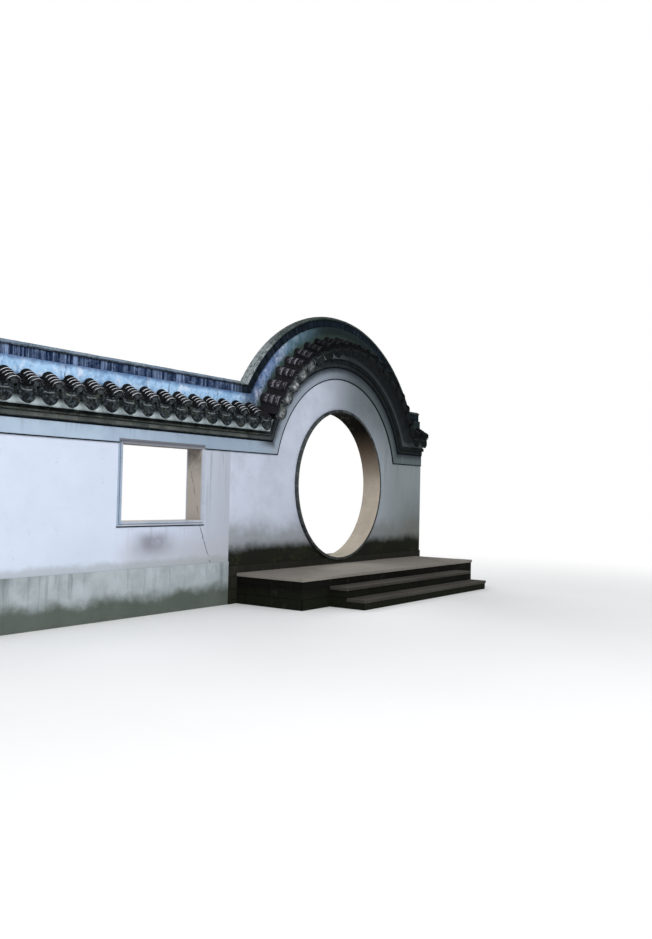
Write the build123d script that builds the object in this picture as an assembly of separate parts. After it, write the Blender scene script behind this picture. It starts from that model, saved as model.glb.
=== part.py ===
from math import asin, atan2, cos, degrees, radians, sin, tan
import os

from build123d import *

os.makedirs("parts", exist_ok=True)

# Millimetres. X runs along the wall, Y through it, Z up from the lower ground.
# Y = 0 is the middle of the wall and X = 0 the middle of the moon opening.

# Landing and steps
step_rise = 145.0
step_going = 290.0
steps_up = 3
landing_top = steps_up * step_rise
landing_depth = 1182.0
landing_inset = 162.0
steps_inset = 650.0
slab_thickness = 50.0
nosing = 15.0

# Moon opening
opening_radius = 1200.0
ring_width = 50.0
ring_proud = 47.0
sill_rise = 104.0
ring_radius = opening_radius + ring_width
centre_z = landing_top + sill_rise + opening_radius

# Wall
wall_half = 130.0
plinth_rise = 165.0
plinth_proud = 12.0
base_proud = 20.0
plinth_top = landing_top + plinth_rise
plinth_half = wall_half + plinth_proud
base_half = wall_half + base_proud
base_top = landing_top + sill_rise
pier_inner = ring_radius * 0.72

# Frieze, level on the wing and concentric with the opening on the arch
frieze_over_centre = 424.0
frieze_from_ring = 512.0
frieze_z = centre_z + frieze_over_centre
arch_frieze_radius = ring_radius + frieze_from_ring

# Window in the garden wall
window_from_joint = 588.0
window_width = 1410.0
window_height = 960.0
window_under_frieze = 10.0
frame_width = 60.0
frame_outer_proud = 12.0
frame_bead_width = 32.0
frame_bead_proud = 22.0

# Mouldings, whose heights are measured up from the frieze line
frieze_height = 200.0
string_height = 70.0
band_height = 57.0
band_low = frieze_height + string_height
band_top = band_low + band_height
frieze_proud = 12.0
string_proud = 30.0
band_proud = 66.0

# Tiled slopes, laid flatter and wider on the arch than on the wing
wing_slope_angle = 33.7
wing_pan_crest = 655.0
wing_eave_half = 310.0
arch_slope_angle = 22.0
arch_pan_crest = 620.0
arch_eave_half = 380.0
pan_thickness = 30.0
ridge_half = 105.0
core_foot_half = 175.0
core_foot_top = 452.0
core_setback = 58.0

# Rows of cover tiles, each closed at the eave by an upright plate
wing_row_pitch = 290.0
arch_row_pitch = 268.0
row_radius = 92.0
row_sink = 17.0
row_setback = 10.0
row_plate_rim = 8.0
row_plate_depth = 18.0
row_sides = 6
verge = 104.0
valley_clearance = 101.0
valley_share = 0.275
rows_left = 16
rows_right = 1

# Drip tongues
tongue_half = 125.0
tongue_straight = 46.0
wing_tongue_length = 188.0
arch_tongue_length = 168.0
tongue_sides = 7
tongue_thickness = 14.0
tongue_tilt = 10.0

# Ridge
ridge_base_top = 860.0
ridge_tile_half = 72.0
ridge_tile_height = 115.0
cap_bed_half = 78.0
cap_bed_height = 15.0
cap_half = 86.0
cap_height = 45.0
ridge_tile_top = ridge_base_top + ridge_tile_height
cap_foot = ridge_tile_top + cap_bed_height
cap_top = cap_foot + cap_height
above_all = 2 * cap_top

# Where the straight coping meets the arch, every moulding crosses its own
# continuation on one parabola, so the two copings are cut along it.
level_shift = frieze_z - arch_frieze_radius
mitre_foot = (level_shift + centre_z) / 2


def mitre_x(z):
    return (2 * (centre_z - level_shift) * (z - mitre_foot)) ** 0.5


# Rows of tiles: whole rows outside the valley and around the arch
first_row = mitre_x(frieze_z + wing_pan_crest) + verge + valley_clearance
left_end = -(first_row + rows_left * wing_row_pitch + verge)
right_end = first_row + rows_right * wing_row_pitch + verge
gate_half = right_end
landing_half = gate_half - landing_inset
steps_half = landing_half - steps_inset
valley_z = frieze_z + arch_pan_crest
valley_turn = 90 - degrees(atan2(valley_z - centre_z, mitre_x(valley_z)))
even_row_angle = degrees(arch_row_pitch / (arch_frieze_radius + core_foot_top))
arch_rows_each_side = round(valley_turn / even_row_angle - valley_share)
arch_row_angle = valley_turn / (arch_rows_each_side + valley_share)

wall_top_z = frieze_z + band_top
gate_axis = Axis((0, 0, centre_z), (0, 1, 0))


def block(x0, x1, y0, y1, z0, z1):
    size = Box(x1 - x0, y1 - y0, z1 - z0)
    return Pos((x0 + x1) / 2, (y0 + y1) / 2, (z0 + z1) / 2) * size


def rectangle(x0, x1, z0, z1):
    return Pos((x0 + x1) / 2, (z0 + z1) / 2) * Rectangle(x1 - x0, z1 - z0)


def both_sides(shape):
    return Compound([shape, mirror(shape, Plane.XZ)])


def disc(radius):
    return Pos(0, centre_z) * Circle(radius)


def wall_outline(height):
    # The wall as seen from the front, with its top at a height above the frieze
    straight = rectangle(left_end, right_end, 0, frieze_z + height)
    arch_radius = arch_frieze_radius + height
    arch = disc(arch_radius) & rectangle(left_end, right_end, centre_z, centre_z + arch_radius)
    return straight + arch


def through(sketch, half):
    return extrude(Plane.XZ * sketch, amount=half, both=True)


def skin(sketch, inner, outer):
    # A layer laid on the front face of the wall
    return extrude(Plane.XZ.offset(inner) * sketch, amount=outer - inner)


def save(shape, name):
    export_step(shape, "parts/" + name + ".step")


mitre_top = centre_z + arch_frieze_radius + above_all
mitre_half = mitre_x(mitre_top)
mitre_curve = Bezier((-mitre_half, mitre_top), (0, 2 * mitre_foot - mitre_top), (mitre_half, mitre_top))
mitre_lid = Line((-mitre_half, mitre_top), (mitre_half, mitre_top))
mitre_region = through(make_face([mitre_curve, mitre_lid]), 2 * arch_eave_half)


def straight_left(profile):
    run = extrude(Plane.YZ.offset(left_end) * profile, amount=-left_end)
    return run - mitre_region


def straight_right(profile):
    run = extrude(Plane.YZ * profile, amount=right_end)
    return run - mitre_region


def around_arch(profile):
    rise = centre_z + arch_frieze_radius - frieze_z
    ring = revolve(Plane.YZ * Pos(0, rise) * profile, axis=gate_axis, revolution_arc=180)
    return ring.rotate(gate_axis, -90) & mitre_region


def profile_of(points):
    return make_face(Polyline([(y, frieze_z + h) for y, h in points], close=True))


def save_coping(wing_profile, arch_profile, name, sides=False):
    made = {
        "left": straight_left(wing_profile),
        "arch": around_arch(arch_profile),
        "right": straight_right(wing_profile),
    }
    for place, shape in made.items():
        save(both_sides(shape) if sides else shape, name + "_" + place)


# Garden wall, in four pieces around its window
window_right = -gate_half - window_from_joint
window_left = window_right - window_width
window_head = frieze_z - window_under_frieze
window_sill = window_head - window_height
save(block(left_end, window_left, -wall_half, wall_half, plinth_top, wall_top_z), "garden_wall_end")
save(block(window_right, -gate_half, -wall_half, wall_half, plinth_top, wall_top_z), "garden_wall_by_gate")
save(block(window_left, window_right, -wall_half, wall_half, plinth_top, window_sill), "garden_wall_under_window")
save(block(window_left, window_right, -wall_half, wall_half, window_head, wall_top_z), "garden_wall_over_window")
save(block(left_end, -gate_half, -plinth_half, plinth_half, 0, plinth_top), "garden_plinth")

# Gate wall, two piers and the crown between them
gate_outline = wall_outline(band_top) & rectangle(-gate_half, gate_half, base_top, mitre_top)
gate_outline = gate_outline - disc(ring_radius)
crown_area = rectangle(-pier_inner, pier_inner, centre_z, mitre_top)
gate_wall = through(gate_outline, wall_half)
crown_block = through(crown_area, wall_half)
save(gate_wall & crown_block, "gate_wall_crown")
piers = gate_wall - crown_block
save(piers & block(-gate_half, 0, -wall_half, wall_half, 0, mitre_top), "gate_wall_left")
save(piers & block(0, gate_half, -wall_half, wall_half, 0, mitre_top), "gate_wall_right")
base_outline = rectangle(-gate_half, gate_half, 0, base_top) - disc(ring_radius)
save(through(base_outline, base_half), "gate_base_course")

# Ring and lining of the moon opening
ring_outline = disc(ring_radius) - disc(opening_radius)
save(both_sides(skin(ring_outline, wall_half, wall_half + ring_proud)), "opening_ring")
save(through(ring_outline, wall_half), "opening_lining")

# Window frame
frame_area = rectangle(window_left - frame_width, window_right + frame_width,
                       window_sill - frame_width, window_head + frame_width)
window_area = rectangle(window_left, window_right, window_sill, window_head)
bead_area = rectangle(window_left - frame_bead_width, window_right + frame_bead_width,
                      window_sill - frame_bead_width, window_head + frame_bead_width)
frame = skin(frame_area - window_area, wall_half, wall_half + frame_outer_proud)
frame = frame + skin(bead_area - window_area, wall_half, wall_half + frame_bead_proud)
save(both_sides(frame), "window_frame")

# Frieze, string course and cornice band on both faces
mouldings = {
    "frieze": (0, frieze_height, frieze_proud),
    "string_course": (frieze_height, band_low, string_proud),
    "cornice_band": (band_low, band_top, band_proud),
}
for name, (low, top, proud) in mouldings.items():
    area = wall_outline(top) - wall_outline(low) - frame_area
    layer = skin(area, wall_half, wall_half + proud)
    save(layer, name + "_front")
    save(mirror(layer, Plane.XZ), name + "_back")


def arc_face(half_width, height, centre_drop, sides, start):
    # A flat-footed arc of few sides, as the end of a laid tile
    points = []
    for i in range(sides + 1):
        a = start + (180 - 2 * start) * i / sides
        points.append((half_width * cos(radians(a)), height * sin(radians(a)) - centre_drop))
    return make_face(Polyline(points, close=True))


def symmetric_profile(side):
    return profile_of(side + [(-y, h) for y, h in reversed(side)])


class Slope:
    # One tiled slope, with the core under it and the row and the tongue it carries
    def __init__(self, angle, crest, eave, tongue_length):
        self.fall = tan(radians(angle))
        self.rise = 1 / cos(radians(angle))
        self.down = (0, -cos(radians(angle)), -sin(radians(angle)))
        self.crest = crest
        self.eave = eave
        self.pan_drop = pan_thickness * self.rise
        self.ridge_foot = crest - self.pan_drop
        self.tongue_length = tongue_length

    def height(self, half):
        return self.crest - self.fall * (half - ridge_half)

    def core(self):
        core_eave = self.eave - core_setback
        return symmetric_profile([
            (core_foot_half, band_top),
            (core_foot_half, core_foot_top),
            (core_eave, self.height(core_eave) - self.pan_drop),
            (ridge_half, self.ridge_foot),
        ])

    def pans(self):
        return profile_of([
            (-ridge_half, self.crest),
            (-self.eave, self.height(self.eave)),
            (-self.eave, self.height(self.eave) - self.pan_drop),
            (-ridge_half, self.ridge_foot),
        ])

    def ridge_base(self):
        return symmetric_profile([(ridge_half, self.ridge_foot), (ridge_half, ridge_base_top)])

    def row(self):
        # Laid down the front slope from the ridge base, behind its upright plate
        start = ridge_half - 2 * row_radius
        front = self.eave - row_setback
        plate_back = front - row_plate_depth
        length = (self.eave - start) * self.rise
        foot = Plane((0, -start, frieze_z + self.height(start)), x_dir=(1, 0, 0), z_dir=self.down)
        under = extrude(foot * Pos(0, -row_radius) * Rectangle(4 * row_radius, 2 * row_radius), amount=length)
        tile_start = degrees(asin(row_sink / row_radius))
        tile = extrude(foot * arc_face(row_radius, row_radius, row_sink, row_sides, tile_start), amount=length)
        tile = tile & block(-2 * row_radius, 2 * row_radius, -plate_back, -ridge_half, 0, mitre_top)
        upright = Plane((0, -plate_back, frieze_z + self.height(front)), x_dir=(1, 0, 0), z_dir=(0, -1, 0))
        plate_radius = row_radius + row_plate_rim
        plate_start = degrees(asin(row_sink / plate_radius))
        plate_face = arc_face(plate_radius, plate_radius * self.rise, row_sink, row_sides, plate_start)
        plate = extrude(upright * plate_face, amount=row_plate_depth) - under
        return tile + plate

    def tongue(self):
        # Hung from the eave between two rows
        tilt = radians(tongue_tilt)
        plane = Plane((0, -self.eave, frieze_z + self.height(self.eave)), x_dir=(1, 0, 0),
                      z_dir=(0, -cos(tilt), sin(tilt)))
        tip = arc_face(tongue_half, tongue_straight - self.tongue_length, tongue_straight, tongue_sides, 0)
        root = Pos(0, -tongue_straight / 2) * Rectangle(2 * tongue_half, tongue_straight)
        return extrude(plane * (root + tip), amount=tongue_thickness)


wing = Slope(wing_slope_angle, wing_pan_crest, wing_eave_half, wing_tongue_length)
arch = Slope(arch_slope_angle, arch_pan_crest, arch_eave_half, arch_tongue_length)

# Core of the coping, which carries the tiles, and one sheet of pans a side
save_coping(wing.core(), arch.core(), "coping_core")
save_coping(wing.pans(), arch.pans(), "pan_tiles", sides=True)

# Rows and tongues, straight on the wing and radial on the arch
arch_lift = Pos(0, 0, centre_z + arch_frieze_radius - frieze_z)


def straight_copies(piece, positions):
    return [Pos(x, 0, 0) * piece for x in positions]


def arch_copies(piece, turns):
    # Whole pieces clear of the valley stay as they are, the rest are cut to it
    lifted = arch_lift * piece
    copies = []
    for turn in turns:
        copy = lifted.rotate(gate_axis, turn * arch_row_angle)
        if abs(turn) > arch_rows_each_side - 1:
            copy = copy & mitre_region
        copies.append(copy)
    return copies


def save_rows(pieces, name):
    front = Compound([solid for piece in pieces for solid in piece.solids()])
    back = mirror(front, Plane.XZ)
    save(Compound(front.solids() + back.solids()), name)


left_rows = [-(first_row + i * wing_row_pitch) for i in range(rows_left + 1)]
left_tongues = [-(first_row + (i - 0.5) * wing_row_pitch) for i in range(rows_left + 1)]
right_rows = [first_row + i * wing_row_pitch for i in range(rows_right + 1)]
right_tongues = [first_row + (i - 0.5) * wing_row_pitch for i in range(rows_right + 1)]
arch_tongue_turns = range(-arch_rows_each_side, arch_rows_each_side + 1)
arch_row_turns = [i + 0.5 for i in range(-arch_rows_each_side, arch_rows_each_side)]
save_rows(straight_copies(wing.row(), left_rows), "cover_tiles_left")
save_rows(straight_copies(wing.row(), right_rows), "cover_tiles_right")
save_rows(arch_copies(arch.row(), arch_row_turns), "cover_tiles_arch")
save_rows(straight_copies(wing.tongue(), left_tongues), "drip_tiles_left")
save_rows(straight_copies(wing.tongue(), right_tongues), "drip_tiles_right")
save_rows(arch_copies(arch.tongue(), arch_tongue_turns), "drip_tiles_arch")

# Ridge base, standing tiles and cap
standing = symmetric_profile([(ridge_tile_half, ridge_base_top), (ridge_tile_half, ridge_tile_top)])
cap = symmetric_profile([(cap_bed_half, ridge_tile_top), (cap_bed_half, cap_foot),
                         (cap_half, cap_foot), (cap_half, cap_top)])
save_coping(wing.ridge_base(), arch.ridge_base(), "ridge_base")
save_coping(standing, standing, "ridge_tiles")
save_coping(cap, cap, "ridge_cap")

# Landing and steps, the same in front and behind
landing_front = base_half + landing_depth
core_depth = landing_front - nosing
slab_under = landing_top - slab_thickness
landing_core = block(-landing_half + nosing, landing_half - nosing, -core_depth, -base_half, 0, slab_under)
landing_slab = block(-landing_half, landing_half, -landing_front, -base_half, slab_under, landing_top)
treads = []
bases = []
for i in range(1, steps_up):
    top = landing_top - i * step_rise
    back_edge = core_depth + (i - 1) * step_going
    front_edge = landing_front + i * step_going
    treads.append(block(-steps_half, steps_half, -front_edge, -back_edge, top - slab_thickness, top))
    bases.append(block(-steps_half + nosing, steps_half - nosing,
                       -front_edge + nosing, -back_edge, 0, top - slab_thickness))
step_base = bases[0] + bases[1]
for name, shape in {"landing_core": landing_core, "landing_slab": landing_slab,
                    "treads": Compound(treads), "step_base": step_base}.items():
    save(shape, name + "_front")
    save(mirror(shape, Plane.XZ), name + "_back")
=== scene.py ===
import math
import random

import bmesh
import bpy
from bpy.props import FloatProperty, FloatVectorProperty, IntProperty, PointerProperty
from bpy.types import NodeSocket, Operator, Panel, PropertyGroup
from mathutils import Matrix, Vector, noise


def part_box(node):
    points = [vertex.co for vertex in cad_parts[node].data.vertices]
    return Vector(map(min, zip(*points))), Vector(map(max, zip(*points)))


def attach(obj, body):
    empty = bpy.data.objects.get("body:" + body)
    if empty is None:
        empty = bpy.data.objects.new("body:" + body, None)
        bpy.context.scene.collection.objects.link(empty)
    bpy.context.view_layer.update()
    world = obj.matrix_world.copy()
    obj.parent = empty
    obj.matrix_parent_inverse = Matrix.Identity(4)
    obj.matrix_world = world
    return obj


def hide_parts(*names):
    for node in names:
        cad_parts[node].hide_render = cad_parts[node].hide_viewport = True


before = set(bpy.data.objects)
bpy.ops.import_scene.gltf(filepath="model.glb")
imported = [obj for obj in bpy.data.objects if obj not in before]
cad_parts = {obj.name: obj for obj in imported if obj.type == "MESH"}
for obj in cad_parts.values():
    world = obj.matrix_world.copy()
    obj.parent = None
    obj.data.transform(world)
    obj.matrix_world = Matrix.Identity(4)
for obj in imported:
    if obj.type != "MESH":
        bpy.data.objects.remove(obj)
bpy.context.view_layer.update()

bl_info = {
    "name": "Moon gate",
    "version": (1, 0, 0),
    "blender": (4, 5, 0),
    "location": "3D View > Sidebar > Moon gate",
    "description": "Tiles, plaster and stone of a garden wall with a round gate",
    "category": "Add Mesh",
}

ROOT = "root"
RUNS = ("left", "arch", "right")
FACES = {"front": -1, "back": 1}
SIDES = (-1, 1)


def low(node):
    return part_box(node)[0]


def high(node):
    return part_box(node)[1]


def width(node):
    return high(node).x - low(node).x


# The wall and its openings, read from the frame
left_end = low("frieze_front").x
right_end = high("frieze_front").x
wall_half = high("garden_wall_end").y
centre_z = (low("opening_ring").z + high("opening_ring").z) / 2
ring_radius = high("opening_ring").x
ring_front = high("opening_ring").y
ring_bottom = centre_z - ring_radius
landing_top = high("landing_slab_front").z
plinth_top = high("garden_plinth").z
base_top = high("gate_base_course").z
gate_half = high("gate_base_course").x
window_left = high("garden_wall_end").x
window_right = low("garden_wall_by_gate").x
window_sill = high("garden_wall_under_window").z
window_head = low("garden_wall_over_window").z
frame_width = window_left - low("window_frame").x

# The coping, with its heights measured up from the frieze line
frieze_z = low("frieze_front").z
string_low = low("string_course_front").z - frieze_z
band_low = low("cornice_band_front").z - frieze_z
band_top = low("coping_core_left").z - frieze_z
string_face = high("string_course_back").y
band_face = high("cornice_band_back").y
frieze_face = high("frieze_back").y
arch_radius = high("frieze_front").z - string_low - centre_z
ridge_half = high("ridge_base_left").y
ridge_base_top = high("ridge_base_left").z - frieze_z
ridge_tile_half = high("ridge_tiles_left").y
ridge_tile_top = high("ridge_tiles_left").z - frieze_z
cap_half = high("ridge_cap_left").y
cap_top = high("ridge_cap_left").z - frieze_z
level_shift = frieze_z - arch_radius
mitre_foot = (level_shift + centre_z) / 2

# Drip tongues
TONGUE_HALF = 0.125
TONGUE_THICK = 0.014
TONGUE_TILT = math.radians(10)
TONGUE_ROWS = 14
TONGUE_COLUMNS = 12
TONGUE_TIP = 0.997
TOP_DIP = 0.012
TOP_RISE = 0.042
# Painted light: the turn of the arch left of which the tongues get pale faces.
LIT_TONGUE_TURN = -0.5
BELLY = 0.006
RIM_HEIGHT = 0.0035
RIM_HALF = 0.006
BOSS_HEIGHT = 0.004
BOSS_HALF = 0.05
BOSS_MIDDLE = 0.42
BOSS_REACH = 0.3


class Slope:
    """The tiled slope of a run, with its heights measured up from the run's frieze line."""

    def __init__(self, run, frieze, tongue_length):
        self.crest = high("pan_tiles_" + run).z - frieze
        self.eave = high("pan_tiles_" + run).y
        self.eave_top = high("drip_tiles_" + run).z - frieze - TONGUE_THICK * math.sin(TONGUE_TILT)
        self.angle = math.atan2(self.crest - self.eave_top, self.eave - ridge_half)
        self.plate_front = high("cover_tiles_" + run).y
        self.tongue_length = tongue_length

    def place(self, along, out):
        """Distance from the wall's middle and height, for a place down the slope and out from it."""
        half = ridge_half + along * math.cos(self.angle) + out * math.sin(self.angle)
        return half, self.crest - along * math.sin(self.angle) + out * math.cos(self.angle)

    def height(self, half):
        return self.crest - math.tan(self.angle) * (half - ridge_half)

    def reach(self, half):
        """Length of the slope down to a distance from the wall's middle."""
        return (half - ridge_half) / math.cos(self.angle)


WING_SLOPE = Slope("left", frieze_z, 0.196)
ARCH_SLOPE = Slope("arch", centre_z + arch_radius, 0.168)
SLOPES = {"left": WING_SLOPE, "arch": ARCH_SLOPE, "right": WING_SLOPE}

# Rows of cover tiles
ARCH_ROWS_EACH_SIDE = 9
VALLEY_SHARE = 0.275
ROWS_LEFT = 17
ROWS_RIGHT = 2
row_pitch = (width("cover_tiles_left") - width("cover_tiles_right")) / (ROWS_LEFT - ROWS_RIGHT)
first_row = low("cover_tiles_right").x + (width("cover_tiles_right") - row_pitch) / 2


def mitre_x(height):
    """Where the straight coping meets the arch, at a height over the frieze line."""
    return math.sqrt(2 * (centre_z - level_shift) * (frieze_z + height - mitre_foot))


def mitre_turn(height):
    return math.atan2(mitre_x(height), frieze_z + height - centre_z)


arch_row_turn = mitre_turn(ARCH_SLOPE.crest) / (ARCH_ROWS_EACH_SIDE + VALLEY_SHARE)


def place(spot, across, y, height):
    """A point of something laid on the coping, cut off where the two copings meet."""
    run, where = spot
    if run == "arch":
        limit = mitre_turn(height)
        radius = arch_radius + height
        turn = max(-limit, min(limit, where + across / radius))
        return Vector((radius * math.sin(turn), y, centre_z + radius * math.cos(turn)))
    reach = mitre_x(height)
    x = where + across
    x = min(x, -reach) if run == "left" else max(x, reach)
    return Vector((x, y, frieze_z + height))


def spots(run, shift):
    """Places of a run's rows, or with a shift of half a row, of the channels between them."""
    if run == "arch":
        turns = 2 * ARCH_ROWS_EACH_SIDE + int(2 * shift)
        return [(run, (i - (turns - 1) / 2) * arch_row_turn) for i in range(turns)]
    sign, rows = (-1, ROWS_LEFT) if run == "left" else (1, ROWS_RIGHT)
    return [(run, sign * (first_row + (i - shift) * row_pitch)) for i in range(rows)]


def spaced(run, pitch, height):
    """Places at an even pitch along one run of the coping, at a given height, and that pitch."""
    if run == "arch":
        turn = pitch / (arch_radius + height)
        many = int(mitre_turn(height) / turn) + 1
        return [("arch", i * turn) for i in range(-many, many + 1)], pitch
    inner = mitre_x(height)
    outer, sign = (-left_end, -1) if run == "left" else (right_end, 1)
    many = max(1, round((outer - inner) / pitch))
    true_pitch = (outer - inner) / many
    return [(run, sign * (outer - (i + 0.5) * true_pitch)) for i in range(many)], true_pitch


def hand_made(point, amount, size):
    """A small offset that varies smoothly from place to place."""
    return amount * noise.noise(point / size)


SHARP_ANGLE = math.radians(35)
SAME_POINT = 0.00005


class Pile:
    """Points and faces of one mesh, with the tone of each point and a value for each that marks rubbed edges
    and painted light and shade.
    """

    def __init__(self):
        self.points = []
        self.faces = []
        self.wear_and_painted_light = []
        self.tone = []

    def loop(self, points, wear_and_painted_light=0.0, tone=0.5):
        start = len(self.points)
        many = len(points)
        self.points.extend(points)
        for store, value in ((self.wear_and_painted_light, wear_and_painted_light), (self.tone, tone)):
            store.extend(value if isinstance(value, list) else [value] * many)
        return list(range(start, start + many))

    def bridge(self, first, second, closed=True):
        for i in range(len(first) if closed else len(first) - 1):
            j = (i + 1) % len(first)
            self.faces.append((first[i], first[j], second[j], second[i]))

    def skin(self, loops, closed=True):
        for first, second in zip(loops, loops[1:]):
            self.bridge(first, second, closed)

    def tube(self, loops):
        """A skin with a flat face on each end."""
        self.skin(loops)
        self.faces.append(tuple(reversed(loops[0])))
        self.faces.append(tuple(loops[-1]))

    def shell(self, loops):
        """A skin whose ends are closed by quads between the two halves of a loop."""
        self.skin(loops)
        for end in (loops[0], loops[-1]):
            for i in range(len(end) // 2 - 1):
                self.faces.append((end[i], end[i + 1], end[-2 - i], end[-1 - i]))

    def make(self, name, finish, slot, *replaced):
        """The piece itself, with its finish and the nodes that it stands for; the slot argument is not used.
        """
        mesh = bpy.data.meshes.new(name)
        mesh.from_pydata([tuple(p) for p in self.points], [], self.faces)
        for label, values in (("wear_and_painted_light", self.wear_and_painted_light), ("tone", self.tone)):
            mesh.attributes.new(label, "FLOAT", "POINT").data.foreach_set("value", values)
        edit = bmesh.new()
        edit.from_mesh(mesh)
        bmesh.ops.dissolve_degenerate(edit, dist=SAME_POINT, edges=edit.edges)
        bmesh.ops.recalc_face_normals(edit, faces=edit.faces)
        edit.to_mesh(mesh)
        edit.free()
        mesh.shade_smooth()
        mesh.set_sharp_from_angle(angle=SHARP_ANGLE)
        mesh.materials.append(bpy.data.materials[finish])
        piece = bpy.data.objects.new(name, mesh)
        bpy.context.scene.collection.objects.link(piece)
        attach(piece, ROOT)
        if replaced:
            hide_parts(*replaced)


def three(stem):
    return [stem + "_" + run for run in RUNS]


def both_ways(half_profile):
    """A closed profile from its right half, listed from the foot up."""
    return half_profile + [(-y, h) for y, h in reversed(half_profile)]


def stations(height, step, x_from, x_to):
    """Where the loops of a moulding stand, by run and share of it, or along one span on the wing."""
    if x_to < 0:
        many = max(1, round((x_to - x_from) / step))
        return [("span", i / many) for i in range(many + 1)]
    reach = mitre_x(height)
    found = []
    for run, length, first, last in (("left", -reach - x_from, 0, -1),
                                     ("arch", 2 * mitre_turn(height) * (arch_radius + height), 0, 0),
                                     ("right", x_to - reach, 1, 0)):
        many = max(1, round(length / step))
        found += [(run, i / many) for i in range(first, many + 1 + last)]
    return found


def moulding_point(run, share, y, height, x_from, x_to):
    """A point of a moulding that runs level along the wing and round the arch."""
    reach = mitre_x(height)
    if run == "arch":
        return place((run, mitre_turn(height) * (2 * share - 1)), 0, y, height)
    start, end = {"left": (x_from, -reach), "right": (reach, x_to), "span": (x_from, x_to)}[run]
    return Vector((start + share * (end - start), y, frieze_z + height))


def run_through(pile, profile, step, uneven=None, wear_and_painted_light=0.0, tone=0.5, x_from=left_end, x_to=right_end):
    """Runs a closed profile of distances and heights along the coping, a little uneven where asked."""
    centre = Vector((sum(y for y, h in profile), sum(h for y, h in profile))) / len(profile)
    loops = []
    for run, share in stations(profile[0][1], step, x_from, x_to):
        points = []
        for y, height in profile:
            point = moulding_point(run, share, y, height, x_from, x_to)
            if uneven:
                amount, size = uneven
                away = Vector((y - centre.x, height - centre.y)).normalized()
                shift = hand_made(point, amount, size) - amount
                up = Vector((0, 0, 1))
                if run == "arch":
                    up = Vector((point.x, 0, point.z - centre_z)).normalized()
                point += (Vector((0, away.x, 0)) + up * away.y) * shift
            points.append(point)
        loops.append(pile.loop(points, wear_and_painted_light, tone))
    pile.tube(loops)


def lay(pile, spot, length, profile, steps, ease, wear_and_painted_light, edge_wear, tone):
    """One brick or tile with the given profile, laid along the coping, its ends eased off."""
    middle_y = sum(y for y, h in profile) / len(profile)
    middle_h = sum(h for y, h in profile) / len(profile)
    deep = max(abs(y - middle_y) for y, h in profile)
    tall = max(abs(h - middle_h) for y, h in profile)
    half = length / 2
    body = [-half + ease + i * (length - 2 * ease) / steps for i in range(steps + 1)]
    loops = []
    for across in [-half, *body, half]:
        end = abs(across) == half
        points = []
        for y, height in profile:
            if end:
                y -= math.copysign(min(ease, deep), y - middle_y)
                height -= math.copysign(min(ease, tall), height - middle_h)
            points.append(place(spot, across, y, height))
        loops.append(pile.loop(points, edge_wear if end else wear_and_painted_light, tone))
    pile.tube(loops)


STONE_GRID = 0.08
STONE_HOLLOWS = 0.09
EDGE_EASE = 0.5
CORNER_EASE = 0.6
STONE_EDGE_WEAR = 0.9
STONE_FACE_WEAR = 0.1


def stone(pile, corner, opposite, ease, tone, amount=0.0):
    """A worked stone with eased edges, cut into a fine grid so that it can be a little uneven."""
    grid = []
    for a, b in zip(corner, opposite):
        many = max(1, round((b - a - 2 * ease) / STONE_GRID)) if amount else 1
        grid.append([a] + [a + ease + i * (b - a - 2 * ease) / many for i in range(many + 1)] + [b])
    count = [len(stops) for stops in grid]
    index = {}

    def vertex(key):
        if key not in index:
            ends = [n in (0, c - 1) for n, c in zip(key, count)]
            inward = [stops[1] if n == 0 else stops[-2] for n, stops in zip(key, grid)]
            point = Vector([stops[n] for n, stops in zip(key, grid)])
            outside = sum(ends)
            for axis in range(3):
                if ends[axis] and outside > 1:
                    point[axis] += (inward[axis] - point[axis]) * (EDGE_EASE if outside == 2 else CORNER_EASE)
            shift = hand_made(point, amount, STONE_HOLLOWS) - amount
            for axis in range(3):
                if ends[axis] and amount:
                    point[axis] -= shift if key[axis] == 0 else -shift
            wear_and_painted_light = STONE_EDGE_WEAR if outside > 1 else STONE_FACE_WEAR
            index[key] = pile.loop([point], wear_and_painted_light, tone)[0]
        return index[key]

    for axis in range(3):
        a, b = [other for other in range(3) if other != axis]
        for level in (0, count[axis] - 1):
            for p in range(count[a] - 1):
                for q in range(count[b] - 1):
                    face = []
                    for u, v in ((p, q), (p + 1, q), (p + 1, q + 1), (p, q + 1)):
                        key = [level] * 3
                        key[a] = u
                        key[b] = v
                        face.append(vertex(tuple(key)))
                    pile.faces.append(tuple(face))


def tint(code):
    """A colour written as it looks, turned into the value that a shader takes."""
    parts = [int(code[i:i + 2], 16) / 255 for i in (0, 2, 4)]
    return tuple(p / 12.92 if p <= 0.04045 else ((p + 0.055) / 1.055) ** 2.4 for p in parts)


def shade(colour):
    """What a colour socket takes, for a colour that another node gives, a code or three numbers."""
    if isinstance(colour, NodeSocket):
        return colour
    return (*(tint(colour) if isinstance(colour, str) else colour), 1.0)


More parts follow.
